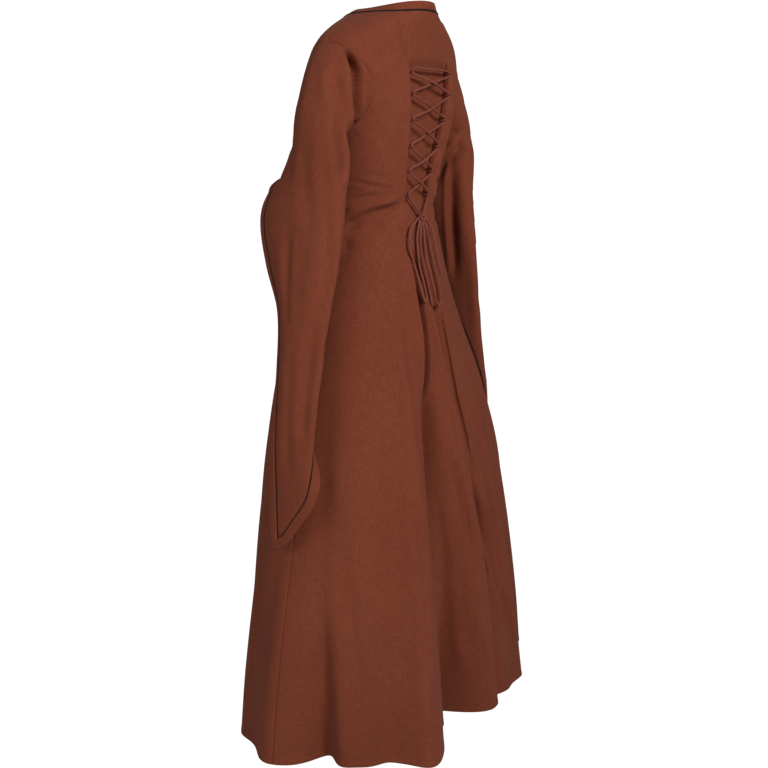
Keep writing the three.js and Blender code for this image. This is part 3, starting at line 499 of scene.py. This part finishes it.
# The four panels: the front in one, a side back on each side, and the centre back between the two lacing seams.
left_seam = lambda height: np.full_like(np.asarray(height, float), 90.0)
right_seam = lambda height: np.full_like(np.asarray(height, float), -90.0)
right_seam_round = lambda height: np.full_like(np.asarray(height, float), 270.0)
lace_left = lambda height: lacing_angle("left", height)
lace_right = lambda height: lacing_angle("right", height)
CREASES = [  # lines of (angle, height), each with its depth outwards and its half widths on its two sides
    ([(101, 1128), (112, 1120), (126, 1117), (139, 1122)], -1.7, 4, 4),
    ([(98, 1104), (115, 1098), (133, 1101)], -2.0, 4, 5), ([(104, 1076), (122, 1064), (138, 1066)], -1.8, 6, 5),
    ([(97, 1048), (110, 1061), (126, 1074)], -1.6, 6, 6), ([(259, 1124), (248, 1116), (233, 1118)], -1.9, 4, 4),
    ([(262, 1096), (246, 1093), (228, 1103), (221, 1112)], -1.8, 4, 5),
    ([(258, 1062), (243, 1072), (230, 1084)], -1.9, 6, 6), ([(150, 1088), (166, 1080), (183, 1083)], -1.2, 5, 6),
    ([(104, 1262), (116, 1248), (126, 1222), (131, 1196)], -2.4, 9, 7),
    ([(256, 1258), (243, 1240), (235, 1208)], -2.2, 8, 8), ([(167, 1342), (174, 1310), (178, 1262)], -1.3, 12, 9),
    ([(194, 1338), (187, 1296)], -1.1, 10, 10), ([(118, 940), (121, 800), (126, 610)], -3.2, 15, 18),
    ([(147, 980), (149, 820), (152, 700)], -2.8, 13, 16),
    ([(205, 1000), (206, 860), (209, 660), (210, 520)], -3.6, 15, 13),
    ([(228, 940), (231, 720), (236, 560)], -2.8, 15, 18), ([(101, 520), (103, 300), (104, 120)], 4.5, 20, 14),
    ([(133, 640), (135, 420), (136, 90)], -4.8, 20, 17), ([(169, 760), (170, 520), (171, 210)], -4.2, 19, 23),
    ([(187, 620), (189, 380), (191, 60)], 4.0, 21, 16), ([(246, 500), (247, 300), (246, 70)], -4.5, 18, 21),
    ([(258, 700), (257, 420), (257, 200)], -3.6, 17, 15),
    # side back on the wearer's left
    ([(90, 1133), (77, 1129), (66, 1122), (54, 1117), (38, 1112)], -2.8, 3.2, 4.8),
    ([(87, 1107), (74, 1111), (62, 1117), (49, 1123)], -1.6, 3.4, 3.4),
    ([(88, 1095), (70, 1100), (52, 1100), (34, 1098)], -2.4, 3.6, 4.6),
    ([(92, 1036), (79, 1051), (68, 1063), (52, 1073), (36, 1081), (27, 1086)], -12.5, 7, 16),
    ([(90, 1000), (76, 1023), (64, 1041), (50, 1055)], -8, 9, 16),
    ([(88, 1070), (72, 1080), (56, 1088), (38, 1094)], 6, 8, 8), ([(72, 1143), (60, 1139), (44, 1131)], -1.1, 4, 4),
    ([(37, 1452), (36, 1420), (34, 1392), (33, 1362), (32, 1336)], -3.4, 6, 8),
    ([(60, 1262), (66, 1246), (76, 1236)], -2.6, 6, 5), ([(44, 1290), (50, 1240), (54, 1190)], -1.2, 13, 12),
    ([(42, 880), (40, 780), (35, 640), (31, 500), (30, 380), (32, 240), (36, 90)], 7, 9, 15),
    ([(58, 900), (59, 760), (60, 640)], -2.0, 17, 15), ([(72, 500), (68, 380), (65, 270), (63, 120)], -4.4, 13, 19),
    ([(81, 760), (80, 560), (80, 420)], -2.4, 16, 18), ([(49, 620), (46, 430), (45, 260)], -3.0, 16, 18),
    ([(4, 560), (-1, 440), (-5, 336), (-9, 192), (-12, 60)], 3.5, 16, 13),
    ([(-6, 360), (-10, 230), (-14, 110)], -2.0, 14, 14),
    # centre back
    ([(17, 1012), (15.5, 920), (13, 845), (14, 770), (16.5, 670)], -24, 4.5, 6),
    ([(-18, 900), (-20.5, 834), (-23.5, 762), (-27, 684), (-31, 600), (-34, 500)], -5.5, 1.8, 5),
    ([(3, 990), (1, 880), (-2, 780), (-5, 660)], 3.5, 9, 9),
    ([(-12, 600), (-24, 500), (-34, 420), (-39, 330), (-43, 230), (-47, 130)], -13, 17, 7),
    ([(-4, 640), (-12, 480), (-22, 340), (-28, 200), (-31, 90)], 4, 12, 10),
    ([(-44, 300), (-50, 180), (-53, 70)], 4.0, 13, 10), ([(8, 1122), (-3, 1117), (-13, 1121)], -1.2, 4, 5),
    # side back on the wearer's right
    ([(-43, 760), (-43.5, 640), (-44, 540), (-45, 420), (-46.5, 280), (-49, 110)], -9, 15, 7),
    ([(-64, 680), (-67, 560), (-69, 440), (-64, 300)], -6, 14, 8), ([(-56, 560), (-58, 420), (-60, 260)], 4, 12, 12),
    ([(-88, 1136), (-73, 1128), (-58, 1119), (-44, 1116)], -2.1, 4, 4.5),
    ([(-86, 1104), (-70, 1106), (-50, 1112)], -1.8, 4, 4),
    ([(-86, 1046), (-74, 1062), (-56, 1080), (-38, 1090)], -4.2, 8, 10),
    ([(-87, 1008), (-72, 1040), (-52, 1062)], -2.8, 9, 9), ([(-37, 1448), (-35, 1404), (-33, 1358)], -2.8, 7, 7),
    ([(-44, 1336), (-46, 1290), (-46, 1240), (-44, 1180), (-41, 1120), (-36, 1075)], -10, 7, 12),
    ([(-38, 1096), (-52, 1124), (-68, 1150), (-80, 1168)], -9, 7, 12),
    ([(-62, 1260), (-68, 1244), (-80, 1232)], -2.8, 6, 6), ([(-48, 1180), (-62, 1150), (-78, 1128)], -2.8, 6, 9),
    ([(-38, 960), (-40, 860), (-42, 760)], -3.5, 9, 12),
]
front_cloth = body_panel("front_cloth", "front_panel", left_seam, right_seam_round, 170)
back_left_cloth = body_panel("side_back_left_cloth", "side_back_left", lace_left, left_seam, 130)
back_right_cloth = body_panel("side_back_right_cloth", "side_back_right", right_seam, lace_right, 120)
centre_cloth = body_panel("centre_back_cloth", "centre_back", lace_right, lace_left, 120, armholes=False)


# Neckline: a band of the gown's cloth, joined on with a thin dark piping in the seam.
def closed_tube(name, centres, normals, onward, sides=10):
    """A round cord in a closed seam: one ring of points at each point of the seam."""
    around = 2 * np.pi * np.arange(sides) / sides
    rings = (centres[None] + PIPING_RADIUS * np.cos(around)[:, None, None] * onward[None]
             + PIPING_RADIUS * np.sin(around)[:, None, None] * normals[None])
    rings = np.concatenate([rings, rings[:1]], 0)
    length = np.concatenate([[0], np.cumsum(np.linalg.norm(np.diff(centres, axis=0), axis=-1))]) * 0.001
    girth = np.arange(sides + 1) * PIPING_RADIUS * 0.001 * 2 * np.pi / sides
    uvs = np.stack(np.broadcast_arrays(length[None], girth[:, None]), -1)
    columns = len(centres)
    faces = grid_faces(sides + 1, columns, closed=True)
    merged = [[corner % (sides * columns) for corner in face] for face in faces]
    piece = new_piece(name, rings[:-1], merged, uvs[:-1], PIPING)
    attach(piece, "root")
    return piece


PIPING = cloth_material("dark_piping", (0.006, 0.004, 0.003), (0.012, 0.008, 0.006), (0.028, 0.019, 0.015), 1600,
                        0.3)
around_neck = np.linspace(0, 360, 260, endpoint=False)


def neck_line(distance):
    return body_point(around_neck, below_neck(around_neck, distance))


band_rows = np.stack([neck_line(distance) for distance in (16.6, 15.6, 14, 11, 8, 5, 2.5, 1, 0.3)])
band_normals = body_normal(around_neck, below_neck(around_neck, 8))
lift = np.array([-0.6, 0.0, 0.5, 0.7, 0.7, 0.7, 0.6, 0.3, -0.3])
band_rows = band_rows + lift[:, None, None] * band_normals[None]
neck_band = new_piece("neck_band_cloth", band_rows, grid_faces(*band_rows.shape[:2], closed=True, flip=True),
                      cut_lengths(band_rows), CLOTH)
thin_shell(neck_band, BAND_WALL)
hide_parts("neck_band")

piping_height = below_neck(around_neck, PIPING_SEAM - PIPING_GAP - PIPING_RADIUS)
piping_centres = body_point(around_neck, piping_height)
piping_normals = body_normal(around_neck, piping_height)
piping_onward = unit(body_point(around_neck, piping_height + 2) - body_point(around_neck, piping_height - 2))
neck_cord = closed_tube("neck_piping_cord", piping_centres - 0.3 * piping_normals, piping_normals, piping_onward)
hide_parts("neck_piping")


# Sleeves: trumpet sleeves set into the armholes, narrow to the elbow and hanging open to a long point below it.
SLEEVE = [  # height, outer face, inner face, front edge, rear fold, how far round the mouth is open, how far it curls
    (1215, 255, 168, -43, 62, 0, 0), (1178, 258, 168, -54, 70, 0, 0), (1136, 260, 170, -77, 71, 0, 0),
    (1104, 261, 173, -90, 69, 38, 3), (1055, 264, 180, -98, 69, 58, 7), (975, 271, 202, -76, 69, 72, 9),
    (889, 286, 230, -44, 66, 78, 13), (780, 304, 259, -31, 64, 80, 12), (640, 322, 289, -17, 64, 80, 3),
    (460, 333, 312, -3, 58, 80, 0),
]
SLEEVE_EDGE = [(0, 462), (0.06, 470), (0.2, 505), (0.38, 548), (0.5, 602), (0.65, 700), (0.85, 852), (1, 955)]
MOUTH_TOP, ARM_TOP = 1136, 1215


def sleeve_open(height):
    """How far round the mouth is open: a rounded top, then as the table says."""
    table = np.maximum(along(SLEEVE, 5, height), 0)
    top = 38 * np.sqrt(np.clip(1 - ((np.minimum(height, MOUTH_TOP) - 1104) / 32) ** 2, 0, 1))
    return np.where(height > MOUTH_TOP, 0, np.where(height > 1104, top, table))


def sleeve_point(around, height):
    around, height = np.broadcast_arrays(np.asarray(around, float), np.asarray(height, float))
    opened = sleeve_open(height)
    theta = np.radians(opened + (360 - 2 * opened) * around)
    outer, inner, front, rear = (along(SLEEVE, column, height) for column in (1, 2, 3, 4))
    depth = (rear - front) / (1 + np.cos(np.radians(opened)))
    curl = along(SLEEVE, 6, height) * np.maximum(1 - around / 0.1, 0) ** 2
    return np.stack([(outer + inner) / 2 + (outer - inner) / 2 * np.sin(theta) - curl,
                     rear - depth - depth * np.cos(theta), height], -1)


def sleeve_root(around):
    theta = 2 * np.pi * around
    y = ARMHOLE[0] - (ARMHOLE[2] + 0.3) * np.cos(theta)
    height = ARMHOLE[1] + (ARMHOLE[3] + 0.3) * np.sin(theta)
    return np.stack([side_of_body(y, height) + 0.15, y, height], -1)


def sleeve_cap(around, down):
    """The sleeve's cap leaves the armhole outwards and turns down into the arm."""
    start, end = sleeve_root(around), sleeve_point(around, ARM_TOP)
    reach = np.linalg.norm(end - start, axis=-1, keepdims=True) * 0.66
    inward = np.stack([ARMHOLE[0] - start[..., 1], ARMHOLE[1] - start[..., 2]], -1)
    inward = inward / np.linalg.norm(inward, axis=-1, keepdims=True)
    ahead = side_of_body(start[..., 1] + 3 * inward[..., 0], start[..., 2] + 3 * inward[..., 1])
    onward = unit(np.stack([(ahead - start[..., 0] + 0.15) / 3, inward[..., 0], inward[..., 1]], -1))
    lean = (0.72 + 0.1 * bell(turn(180, 360 * around), 60))[..., None]
    out = np.stack([np.full_like(around, 0.78), np.zeros_like(around),
                    -0.25 * np.maximum(np.sin(2 * np.pi * around), 0)], -1)
    out = unit(out * (1 - lean) + onward * lean) * reach * 0.9
    drop = np.array([0, 0, -1.0]) * reach
    t = down
    return (start * (2 * t**3 - 3 * t**2 + 1) + out * (t**3 - 2 * t**2 + t) + end * (3 * t**2 - 2 * t**3)
            + drop * (t**3 - t**2))


SLEEVE_COLUMNS = 96
around_arm = np.arange(SLEEVE_COLUMNS + 1) / SLEEVE_COLUMNS
cap = [sleeve_cap(around_arm, t) for t in np.concatenate([[0, 0.015, 0.035, 0.07], np.linspace(0.11, 0.97, 22)])]
arm = [sleeve_point(around_arm, height) for height in np.linspace(ARM_TOP, MOUTH_TOP, 14)]
edge_height = along(SLEEVE_EDGE, 1, around_arm)
parts = np.concatenate([[0.001, 0.003, 0.0065, 0.011, 0.017, 0.025, 0.035, 0.047], np.linspace(0.06, 1, 84)])
hanging = [sleeve_point(around_arm, MOUTH_TOP + (edge_height - MOUTH_TOP) * part) for part in parts]
closed_rows = len(cap) + len(arm) - 1
sleeve_grid = np.stack(cap + arm + hanging)


def mouth_frames(grid, normals):
    """Round the mouth: each point, the cloth's outward direction there, and the way the cloth would run on."""
    rows, columns = grid.shape[:2]
    path = [(j, 0) for j in range(closed_rows, rows)] + [(rows - 1, i) for i in range(1, columns)]
    path += [(j, columns - 1) for j in range(rows - 2, closed_rows, -1)]
    j, i = np.array(path).T
    points, out = grid[j, i], normals[j, i]
    arriving = unit(points - np.roll(points, 1, 0))
    leaving = unit(np.roll(points, -1, 0) - points)
    tangent = unit(arriving + leaving)
    mitre = np.minimum(1 / np.maximum((arriving * tangent).sum(-1), 0.3), 1.5)[:, None]
    return points, out, unit(np.cross(tangent, out)) * mitre


def sleeve_normals(grid):
    normals = unit(np.cross(np.gradient(grid, axis=0), np.gradient(grid, axis=1)))
    closed = normals[:closed_rows + 1]
    closed[:, 0] = closed[:, -1] = unit(closed[:, 1] + closed[:, -2])
    return normals


normals = sleeve_normals(sleeve_grid)
outward = np.sign((normals[20] * (sleeve_grid[20] - sleeve_grid[20].mean(0))).sum())
normals = normals * outward
mouth_points, mouth_normals, mouth_onward = mouth_frames(sleeve_grid, normals)


def sleeve_place(around, level):
    """A place on the sleeve: above ARM_TOP the level counts the cap in hundredths, up to its seam."""
    around = np.array([around], float)
    down = 1 - (level - ARM_TOP) / 100
    return (sleeve_point(around, level) if level < ARM_TOP else sleeve_cap(around, down))[0]


SLEEVE_CREASES = {
    "left": [
        ([(0.31, 1313), (0.36, 1310), (0.41, 1298), (0.45, 1284), (0.50, 1271), (0.58, 1258), (0.66, 1250)],
         -27, 9, 6),
        ([(0.31, 1292), (0.36, 1276), (0.43, 1256), (0.48, 1220), (0.495, 1170), (0.49, 1110)], -9.5, 8, 11),
        ([(0.24, 1300), (0.27, 1262), (0.28, 1216), (0.29, 1150)], -2.0, 14, 12),
        ([(0.20, 1250), (0.25, 1180), (0.27, 1100), (0.27, 1000)], -2.4, 12, 14),
        ([(0.36, 1190), (0.37, 1100), (0.38, 980), (0.38, 860)], -2.6, 12, 15),
        ([(0.17, 1050), (0.13, 985), (0.10, 920), (0.09, 850)], -3.0, 7, 10),
        ([(0.30, 900), (0.29, 760), (0.28, 640)], -2.4, 12, 14),
        ([(0.44, 840), (0.43, 740), (0.43, 640)], 2.6, 12, 10),
        ([(0.14, 820), (0.13, 700), (0.14, 560)], -2.0, 10, 12),
        ([(0.12, 1210), (0.16, 1180), (0.17, 1130)], -2.2, 9, 9),
        ([(0.70, 1270), (0.68, 1215), (0.66, 1140)], -3.2, 9, 10),
        ([(0.80, 1180), (0.79, 1080), (0.80, 980)], -2.8, 11, 12),
        ([(0.66, 1060), (0.66, 900), (0.64, 780)], -2.6, 12, 14),
        ([(0.02, 1260), (0.08, 1220), (0.10, 1180)], -3.0, 9, 9),
        ([(0.92, 1290), (0.94, 1240), (0.96, 1190)], -2.6, 8, 9),
        ([(0.57, 1010), (0.58, 860), (0.58, 720)], 2.4, 10, 10),
    ],
    "right": [
        ([(0.34, 1308), (0.40, 1298), (0.45, 1284), (0.52, 1270)], -6.5, 8, 9),
        ([(0.54, 1212), (0.62, 1186), (0.69, 1158), (0.77, 1122)], -12, 7, 11),
        ([(0.58, 1240), (0.64, 1212), (0.72, 1180)], -4.2, 8, 9),
        ([(0.64, 1190), (0.67, 1118), (0.70, 1040), (0.74, 965), (0.80, 890)], -11, 6, 12),
        ([(0.56, 1150), (0.57, 1040), (0.59, 900), (0.60, 780)], 3.6, 10, 10),
        ([(0.28, 1290), (0.33, 1250), (0.36, 1190), (0.37, 1120)], -3.2, 10, 12),
        ([(0.40, 1100), (0.41, 960), (0.41, 820)], -2.6, 12, 14),
        ([(0.22, 1240), (0.24, 1150), (0.25, 1040)], -2.4, 12, 13),
        ([(0.15, 1040), (0.12, 950), (0.10, 860)], -3.0, 8, 10),
        ([(0.30, 880), (0.30, 740), (0.29, 620)], -2.4, 13, 12),
        ([(0.47, 900), (0.47, 780), (0.46, 660)], -3.0, 9, 11),
        ([(0.84, 1170), (0.83, 1080), (0.84, 990)], -2.6, 10, 12),
        ([(0.04, 1262), (0.09, 1226), (0.12, 1176)], -2.8, 9, 9), ([(0.93, 1284), (0.95, 1236)], -2.4, 8, 9),
    ],
}
from_mouth = np.linalg.norm(sleeve_grid[:, :, None] - mouth_points[None, None, ::6], axis=-1).min(-1)
sleeve_hold = smooth_step(from_mouth / 16) * smooth_step(distances(sleeve_grid, 0) / 9)
for side in ("left", "right"):
    mirror = np.array([1 if side == "left" else -1, 1, 1])
    flip = (side == "left") == (outward > 0)
    lines = [([sleeve_place(*place) for place in line], *rest) for line, *rest in SLEEVE_CREASES[side]]
    creased = creases_on(sleeve_grid, normals, lines) * sleeve_hold
    creased[:closed_rows + 1, -1] = creased[:closed_rows + 1, 0]
    grid = (sleeve_grid + normals * creased[..., None]) * mirror
    sleeve = new_piece(f"sleeve_{side}_cloth", grid, grid_faces(*grid.shape[:2], flip=flip), cut_lengths(grid), CLOTH)
    finish_with(sleeve, "WELD", merge_threshold=0.00002)
    thin_shell(sleeve, CLOTH_WALL)
    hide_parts(f"sleeve_{side}")

    points, out, onward = mouth_points * mirror, mouth_normals * mirror, mouth_onward * mirror
    steps = np.array([3.6, 4.4, 6.0, 8.6, 11.4, 14.4, 17.6, 19.6, 20.3])
    rise = np.array([-0.7, 0.0, 0.4, 0.5, 0.5, 0.5, 0.4, 0.2, -0.4])
    band = points[None] + onward[None] * steps[:, None, None] + out[None] * rise[:, None, None]
    cuff = new_piece(f"cuff_band_{side}_cloth", band, grid_faces(*band.shape[:2], closed=True, flip=not flip),
                     cut_lengths(band), CLOTH)
    thin_shell(cuff, BAND_WALL)
    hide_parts(f"cuff_band_{side}")
    cord = closed_tube(f"cuff_piping_{side}_cord", points + onward * (PIPING_GAP + PIPING_RADIUS) - out, out, onward)
    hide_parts(f"cuff_piping_{side}")


# Lacing: a strip of rouleau loops is sewn to each lacing seam, and a lace of the same rouleau, a narrow tube of
# bias cloth, crosses from loop to loop down to the waist.
LOOP_INSET, LOOP_LIFT, LOOP_RING = 7, 6.8, 4.6
LACE_RADIUS, LOOP_RADIUS, KNOT_RADIUS, FLATNESS = 2.6, 1.3, 2.7, 0.86
KNOT = (-4, 1056, 10.5, 9)  # across, height, lift, radius
LACE = cloth_material("rouleau_cotton", (0.135, 0.033, 0.022), (0.200, 0.052, 0.036), (0.275, 0.082, 0.058), 1300,
                      0.3)


def back_point(side, height, inset, lift):
    """A point on or over the back, at a distance in from a lacing seam."""
    seam = lacing_angle(side, height)
    angle = seam - np.sign(seam) * np.degrees(inset / base_radius(seam, height))
    return body_point(angle, height) + body_normal(angle, height) * np.asarray(lift, float)[..., None]


def between_loops(share, height, lift):
    left, right = lacing_angle("left", height), lacing_angle("right", height)
    angle = left + (right - left) * share
    return body_point(angle, height) + body_normal(angle, height) * np.asarray(lift, float)[..., None]


def smooth_route(points, step):
    """A smooth line through points, with a point about every step."""
    points = np.asarray(points, float)
    gaps = np.sqrt(np.linalg.norm(np.diff(points, axis=0), axis=-1))
    knots = np.concatenate([[0], np.cumsum(gaps)])
    length = np.linalg.norm(np.diff(points, axis=0), axis=-1).sum()
    count = max(int(length / step), len(points))
    place = np.linspace(0, knots[-1], count + 1)
    rows = [(k, *p) for k, p in zip(knots, points)]
    return np.stack([along(rows, column, place) for column in (1, 2, 3)], -1)


def rouleau(name, route, radius, sides=12, twist=0.0):
    """A tube of bias cloth along a route: a little flat, with one long seam that wanders round it."""
    route = np.asarray(route, float)
    tangent = unit(np.gradient(route, axis=0))
    across = np.array([1.0, 0.0, 0.0])
    length = np.concatenate([[0], np.cumsum(np.linalg.norm(np.diff(route, axis=0), axis=-1))])
    around = 2 * np.pi * np.arange(sides) / sides
    rings, uvs = [], []
    for place, way, far in zip(route, tangent, length):
        across = unit(across - way * (across @ way))
        other = np.cross(way, across)
        spin = around + twist * far
        puff = 1 + 0.05 * np.sin(far / 3.1) * np.sin(far / 7.3 + 1) - 0.10 * bell(turn(0, np.degrees(around)), 16)
        wide, high = np.cos(spin) * radius * puff, np.sin(spin) * radius * FLATNESS * puff
        rings.append(place + wide[:, None] * across + high[:, None] * other)
        uvs.append(np.stack([around * radius, np.full(sides, far)], -1) * 0.001)
    for end, inner in ((0, 1), (-1, -2)):
        middle, way = route[end], unit(route[end] - route[inner])
        for size, push in ((0.75, 0.35), (0.35, 0.55)):
            ring = middle + (rings[end] - middle) * size + way * radius * push
            at = 0 if end == 0 else len(rings)
            rings.insert(at, ring)
            uvs.insert(at, uvs[end])
    rings, uvs = np.array(rings), np.array(uvs)
    faces = grid_faces(len(rings), sides, closed=True)
    faces += [list(range(sides))[::-1], [(len(rings) - 1) * sides + k for k in range(sides)]]
    piece = new_piece(name, rings, faces, uvs, LACE)
    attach(piece, "root")
    return piece


def loop_share(side):
    width = 2 * along(LACING, 1, LOOP_HEIGHTS[3])
    return LOOP_INSET / width if side == "left" else 1 - LOOP_INSET / width


def knot_centre():
    centre = between_loops(0.5, KNOT[1], KNOT[2])
    centre[0] = KNOT[0]
    return centre


def lace_route(first_side, crossing):
    """One half of the lace: down through the loops of alternate sides, then to the knot."""
    route, side, passing = [], first_side, 4
    for k, height in enumerate(LOOP_HEIGHTS):
        here = back_point(side, height, LOOP_INSET, LOOP_LIFT)
        route += [here * (1, 1, 0) + (0, 0, height + passing), here, here * (1, 1, 0) + (0, 0, height - passing)]
        other = "right" if side == "left" else "left"
        if k + 1 < len(LOOP_HEIGHTS):
            below = LOOP_HEIGHTS[k + 1]
            for share in (0.3, 0.5, 0.7):
                across = loop_share(side) + (loop_share(other) - loop_share(side)) * share
                lift = LOOP_LIFT + (crossing - LOOP_LIFT) * (1 if share == 0.5 else 0.6)
                level = height - passing + (below + 2 * passing - height) * share
                route.append(between_loops(across, level, lift))
            side = other
    knot = knot_centre()
    last = route[-1]
    route.append(last + (knot - last) * 0.5)
    route.append(knot - unit(knot - last) * (KNOT[3] - 3))
    return np.array(route)


first = lace_route("right", 4.4)
second = lace_route("left", 10.4)
bar = [second[0] + (-LACE_RADIUS - 1, 0, 3)]
for share in (0.3, 0.5, 0.7):
    across = loop_share("left") + (loop_share("right") - loop_share("left")) * share
    bar.append(between_loops(across, LOOP_HEIGHTS[0] + 5.5, LOOP_LIFT))
strand_1 = rouleau("lace_strand_1_rouleau", smooth_route(np.concatenate([bar, first]), 2.2), LACE_RADIUS, twist=0.02)
strand_2 = rouleau("lace_strand_2_rouleau", smooth_route(second, 2.2), LACE_RADIUS, twist=-0.025)
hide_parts("lace_strand_1")
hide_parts("lace_strand_2")

for side in ("left", "right"):
    levels = np.linspace(LOOP_HEIGHTS[-1] - 12, LOOP_HEIGHTS[0] + 13, 240)
    nearest = np.abs(levels[:, None] - np.array(LOOP_HEIGHTS)[None]).min(1)
    if side == "left":
        steps = [(0.4, -1.5, 0), (0.9, 0.6, 0), (2.2, 1.0, 0), (3.8, 1.0, 0), (4.9, 0.4, 0), (5.2, -1.4, 0)]
    else:
        steps = [(6.6, -5.0, 0), (7.2, -1.0, 0), (7.4, 3.0, 0), (6.8, 5.6, 0.1), (5.0, 7.6, 0.3), (2.6, 9.4, 0.55),
                 (0.4, 11.0, 0.8), (-1.6, 12.2, 1), (-3.0, 12.4, 1.1), (-3.8, 11.6, 1.1)]
    pulled = bell(nearest, 13) * (1 + 0.25 * np.sin(levels / 23))
    uneven = 0.8 * np.sin(levels / 17 + 1) + 0.5 * np.sin(levels / 7.1)
    inward, raised = 2.6 * pulled - 0.4 * uneven, uneven - 5.2 * pulled
    strip_grid = np.stack([back_point(side, levels, inset + share * inward, lift + share * raised)
                           for inset, lift, share in steps], 1)
    strip = new_piece(f"loop_strip_{side}_cloth", strip_grid, grid_faces(*strip_grid.shape[:2], flip=side == "right"),
                      cut_lengths(strip_grid), CLOTH)
    thin_shell(strip, STRIP_WALL)
    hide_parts(f"loop_strip_{side}")
    for k, height in enumerate(LOOP_HEIGHTS):
        route = []
        for around in np.radians(np.linspace(-150, 150, 15)):
            inset = LOOP_INSET + LOOP_RING * np.cos(around) * 1.15
            lift = LOOP_LIFT + LOOP_RING * np.sin(around)
            route.append(back_point(side, height + 1.6 * np.sin(around), inset, lift))
        rouleau(f"loop_{side}_{k + 1}", smooth_route(route, 1.6), LOOP_RADIUS, sides=8)


# Bow: the two halves of the lace are tied at the waist, and two long limp loops and two tails hang from the knot.
def hanging_point(across, height, lift):
    depth = along(BODY, 3, height)
    angle = float(np.degrees(np.arctan2(across, depth)))
    radius = max(float(body_radius(angle + near, height)) for near in (-8, -4, 0, 4, 8))
    reach = max(radius, float(base_radius(angle, height))) + lift
    return np.array([reach * np.sin(np.radians(angle)), reach * np.cos(np.radians(angle)), height])


BOW = {
    "bow_loop_left": [(16, 1054), (31, 1036), (42, 1004), (38, 976), (33, 944), (28, 912), (23, 892), (17, 904),
                      (19, 932), (22, 962), (20, 990), (15, 1020), (11, 1043)],
    "bow_loop_right": [(-9, 1037), (-6, 1008), (-4, 972), (-9, 940), (-13, 906), (-20, 880), (-29, 892), (-30, 924),
                       (-26, 956), (-23, 984), (-21, 1014), (-19, 1042)],
    "lace_tail_left": [(2, 1036), (7, 1010), (9, 975), (7, 940), (5, 905), (4, 884)],
    "lace_tail_right": [(-25, 1052), (-35, 1032), (-37, 1000), (-40, 968), (-44, 940)],
}
knot = knot_centre()
for name, table in BOW.items():
    route = [hanging_point(across, height, 6) for across, height in table]
    route[0] = knot + unit(route[0] - knot) * (KNOT[3] + 0.6)
    if name.startswith("bow"):
        route[-1] = knot + unit(route[-1] - knot) * (KNOT[3] + 0.6)
    line = smooth_route(route, 3)
    rouleau(name + "_rouleau", line, LACE_RADIUS, twist=0.015)
    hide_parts(name)

turns = []
for k in range(64):
    t = k / 63
    around = 2 * np.pi * 2.4 * t
    turns.append(knot + np.array([5.6 * np.cos(around) * (0.8 + 0.3 * t), 3.6 * np.sin(around * 0.5 + 0.4) + 1.0,
                                  5.2 * np.sin(around) * (1.1 - 0.3 * t)]))
knot_piece = rouleau("lace_knot_rouleau", smooth_route(turns, 1.6), KNOT_RADIUS)
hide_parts("lace_knot")


# Stage: a plain pale floor under the gown, soft light from the camera's side, and the camera of the photograph.
floor_mesh = bpy.data.meshes.new("floor")
floor_mesh.from_pydata([(-40, -40, -1.44), (40, -40, -1.44), (40, 40, -1.44), (-40, 40, -1.44)], [],
                       [(0, 1, 2, 3)])
floor = bpy.data.objects.new("floor", floor_mesh)
bpy.context.collection.objects.link(floor)
pale = bpy.data.materials.new("pale_floor")
pale.use_nodes = True
boards = pale.node_tree
boards.nodes["Principled BSDF"].inputs["Base Color"].default_value = (0.62, 0.62, 0.62, 1)
boards.nodes["Principled BSDF"].inputs["Roughness"].default_value = 0.95
seen = wire(boards, "ShaderNodeLightPath")
share = maths(boards, "MULTIPLY", seen.outputs["Is Camera Ray"], 0.8)
glow = wire(boards, "ShaderNodeEmission", [("Color", (1, 1, 1, 1)), ("Strength", 1.3)])
mixed = wire(boards, "ShaderNodeMixShader", [(0, share)])
boards.links.new(boards.nodes["Principled BSDF"].outputs[0], mixed.inputs[1])
boards.links.new(glow.outputs[0], mixed.inputs[2])
boards.links.new(mixed.outputs[0], boards.nodes["Material Output"].inputs["Surface"])
floor_mesh.materials.append(pale)

world = bpy.data.worlds.new("studio")
bpy.context.scene.world = world
world.use_nodes = True
sky = world.node_tree
seen = wire(sky, "ShaderNodeLightPath")
backdrop = sky.nodes["Background"]
backdrop.inputs["Color"].default_value = (1, 1, 1, 1)
strength = maths(sky, "MULTIPLY_ADD", seen.outputs["Is Camera Ray"], 0.88, 0.17)
sky.links.new(strength, backdrop.inputs["Strength"])

AZIMUTH = np.radians(127)
toward = np.array([np.sin(AZIMUTH), -np.cos(AZIMUTH)])
beside = np.array([np.cos(AZIMUTH), np.sin(AZIMUTH)])


def soft_light(name, ahead, right, height, size, power):
    lamp = bpy.data.lights.new(name, "AREA")
    lamp.shape, lamp.size, lamp.energy = "DISK", size, power
    light = bpy.data.objects.new(name, lamp)
    ground = toward * ahead + beside * right
    light.location = (ground[0], ground[1], height)
    aim = np.array([0, 0, -0.55]) - np.array(light.location)
    light.rotation_euler = (np.arctan2(np.hypot(aim[0], aim[1]), -aim[2]), 0, np.arctan2(-aim[0], aim[1]))
    bpy.context.collection.objects.link(light)


soft_light("key", 2.3, 1.6, 1.1, 1.2, 76)
soft_light("fill", 2.5, -1.9, 0.3, 2.0, 27)

lens = bpy.data.cameras.new("camera")
lens.lens = 54.89
lens.sensor_width = 36
camera = bpy.data.objects.new("camera", lens)
camera.location = (toward[0] * 2.4, toward[1] * 2.4, 1.21 - SHOULDER * 0.001)
camera.rotation_euler = (np.radians(90 - 11.86), 0, AZIMUTH)
bpy.context.collection.objects.link(camera)
bpy.context.scene.camera = camera
bpy.context.scene.view_settings.view_transform = "Standard"
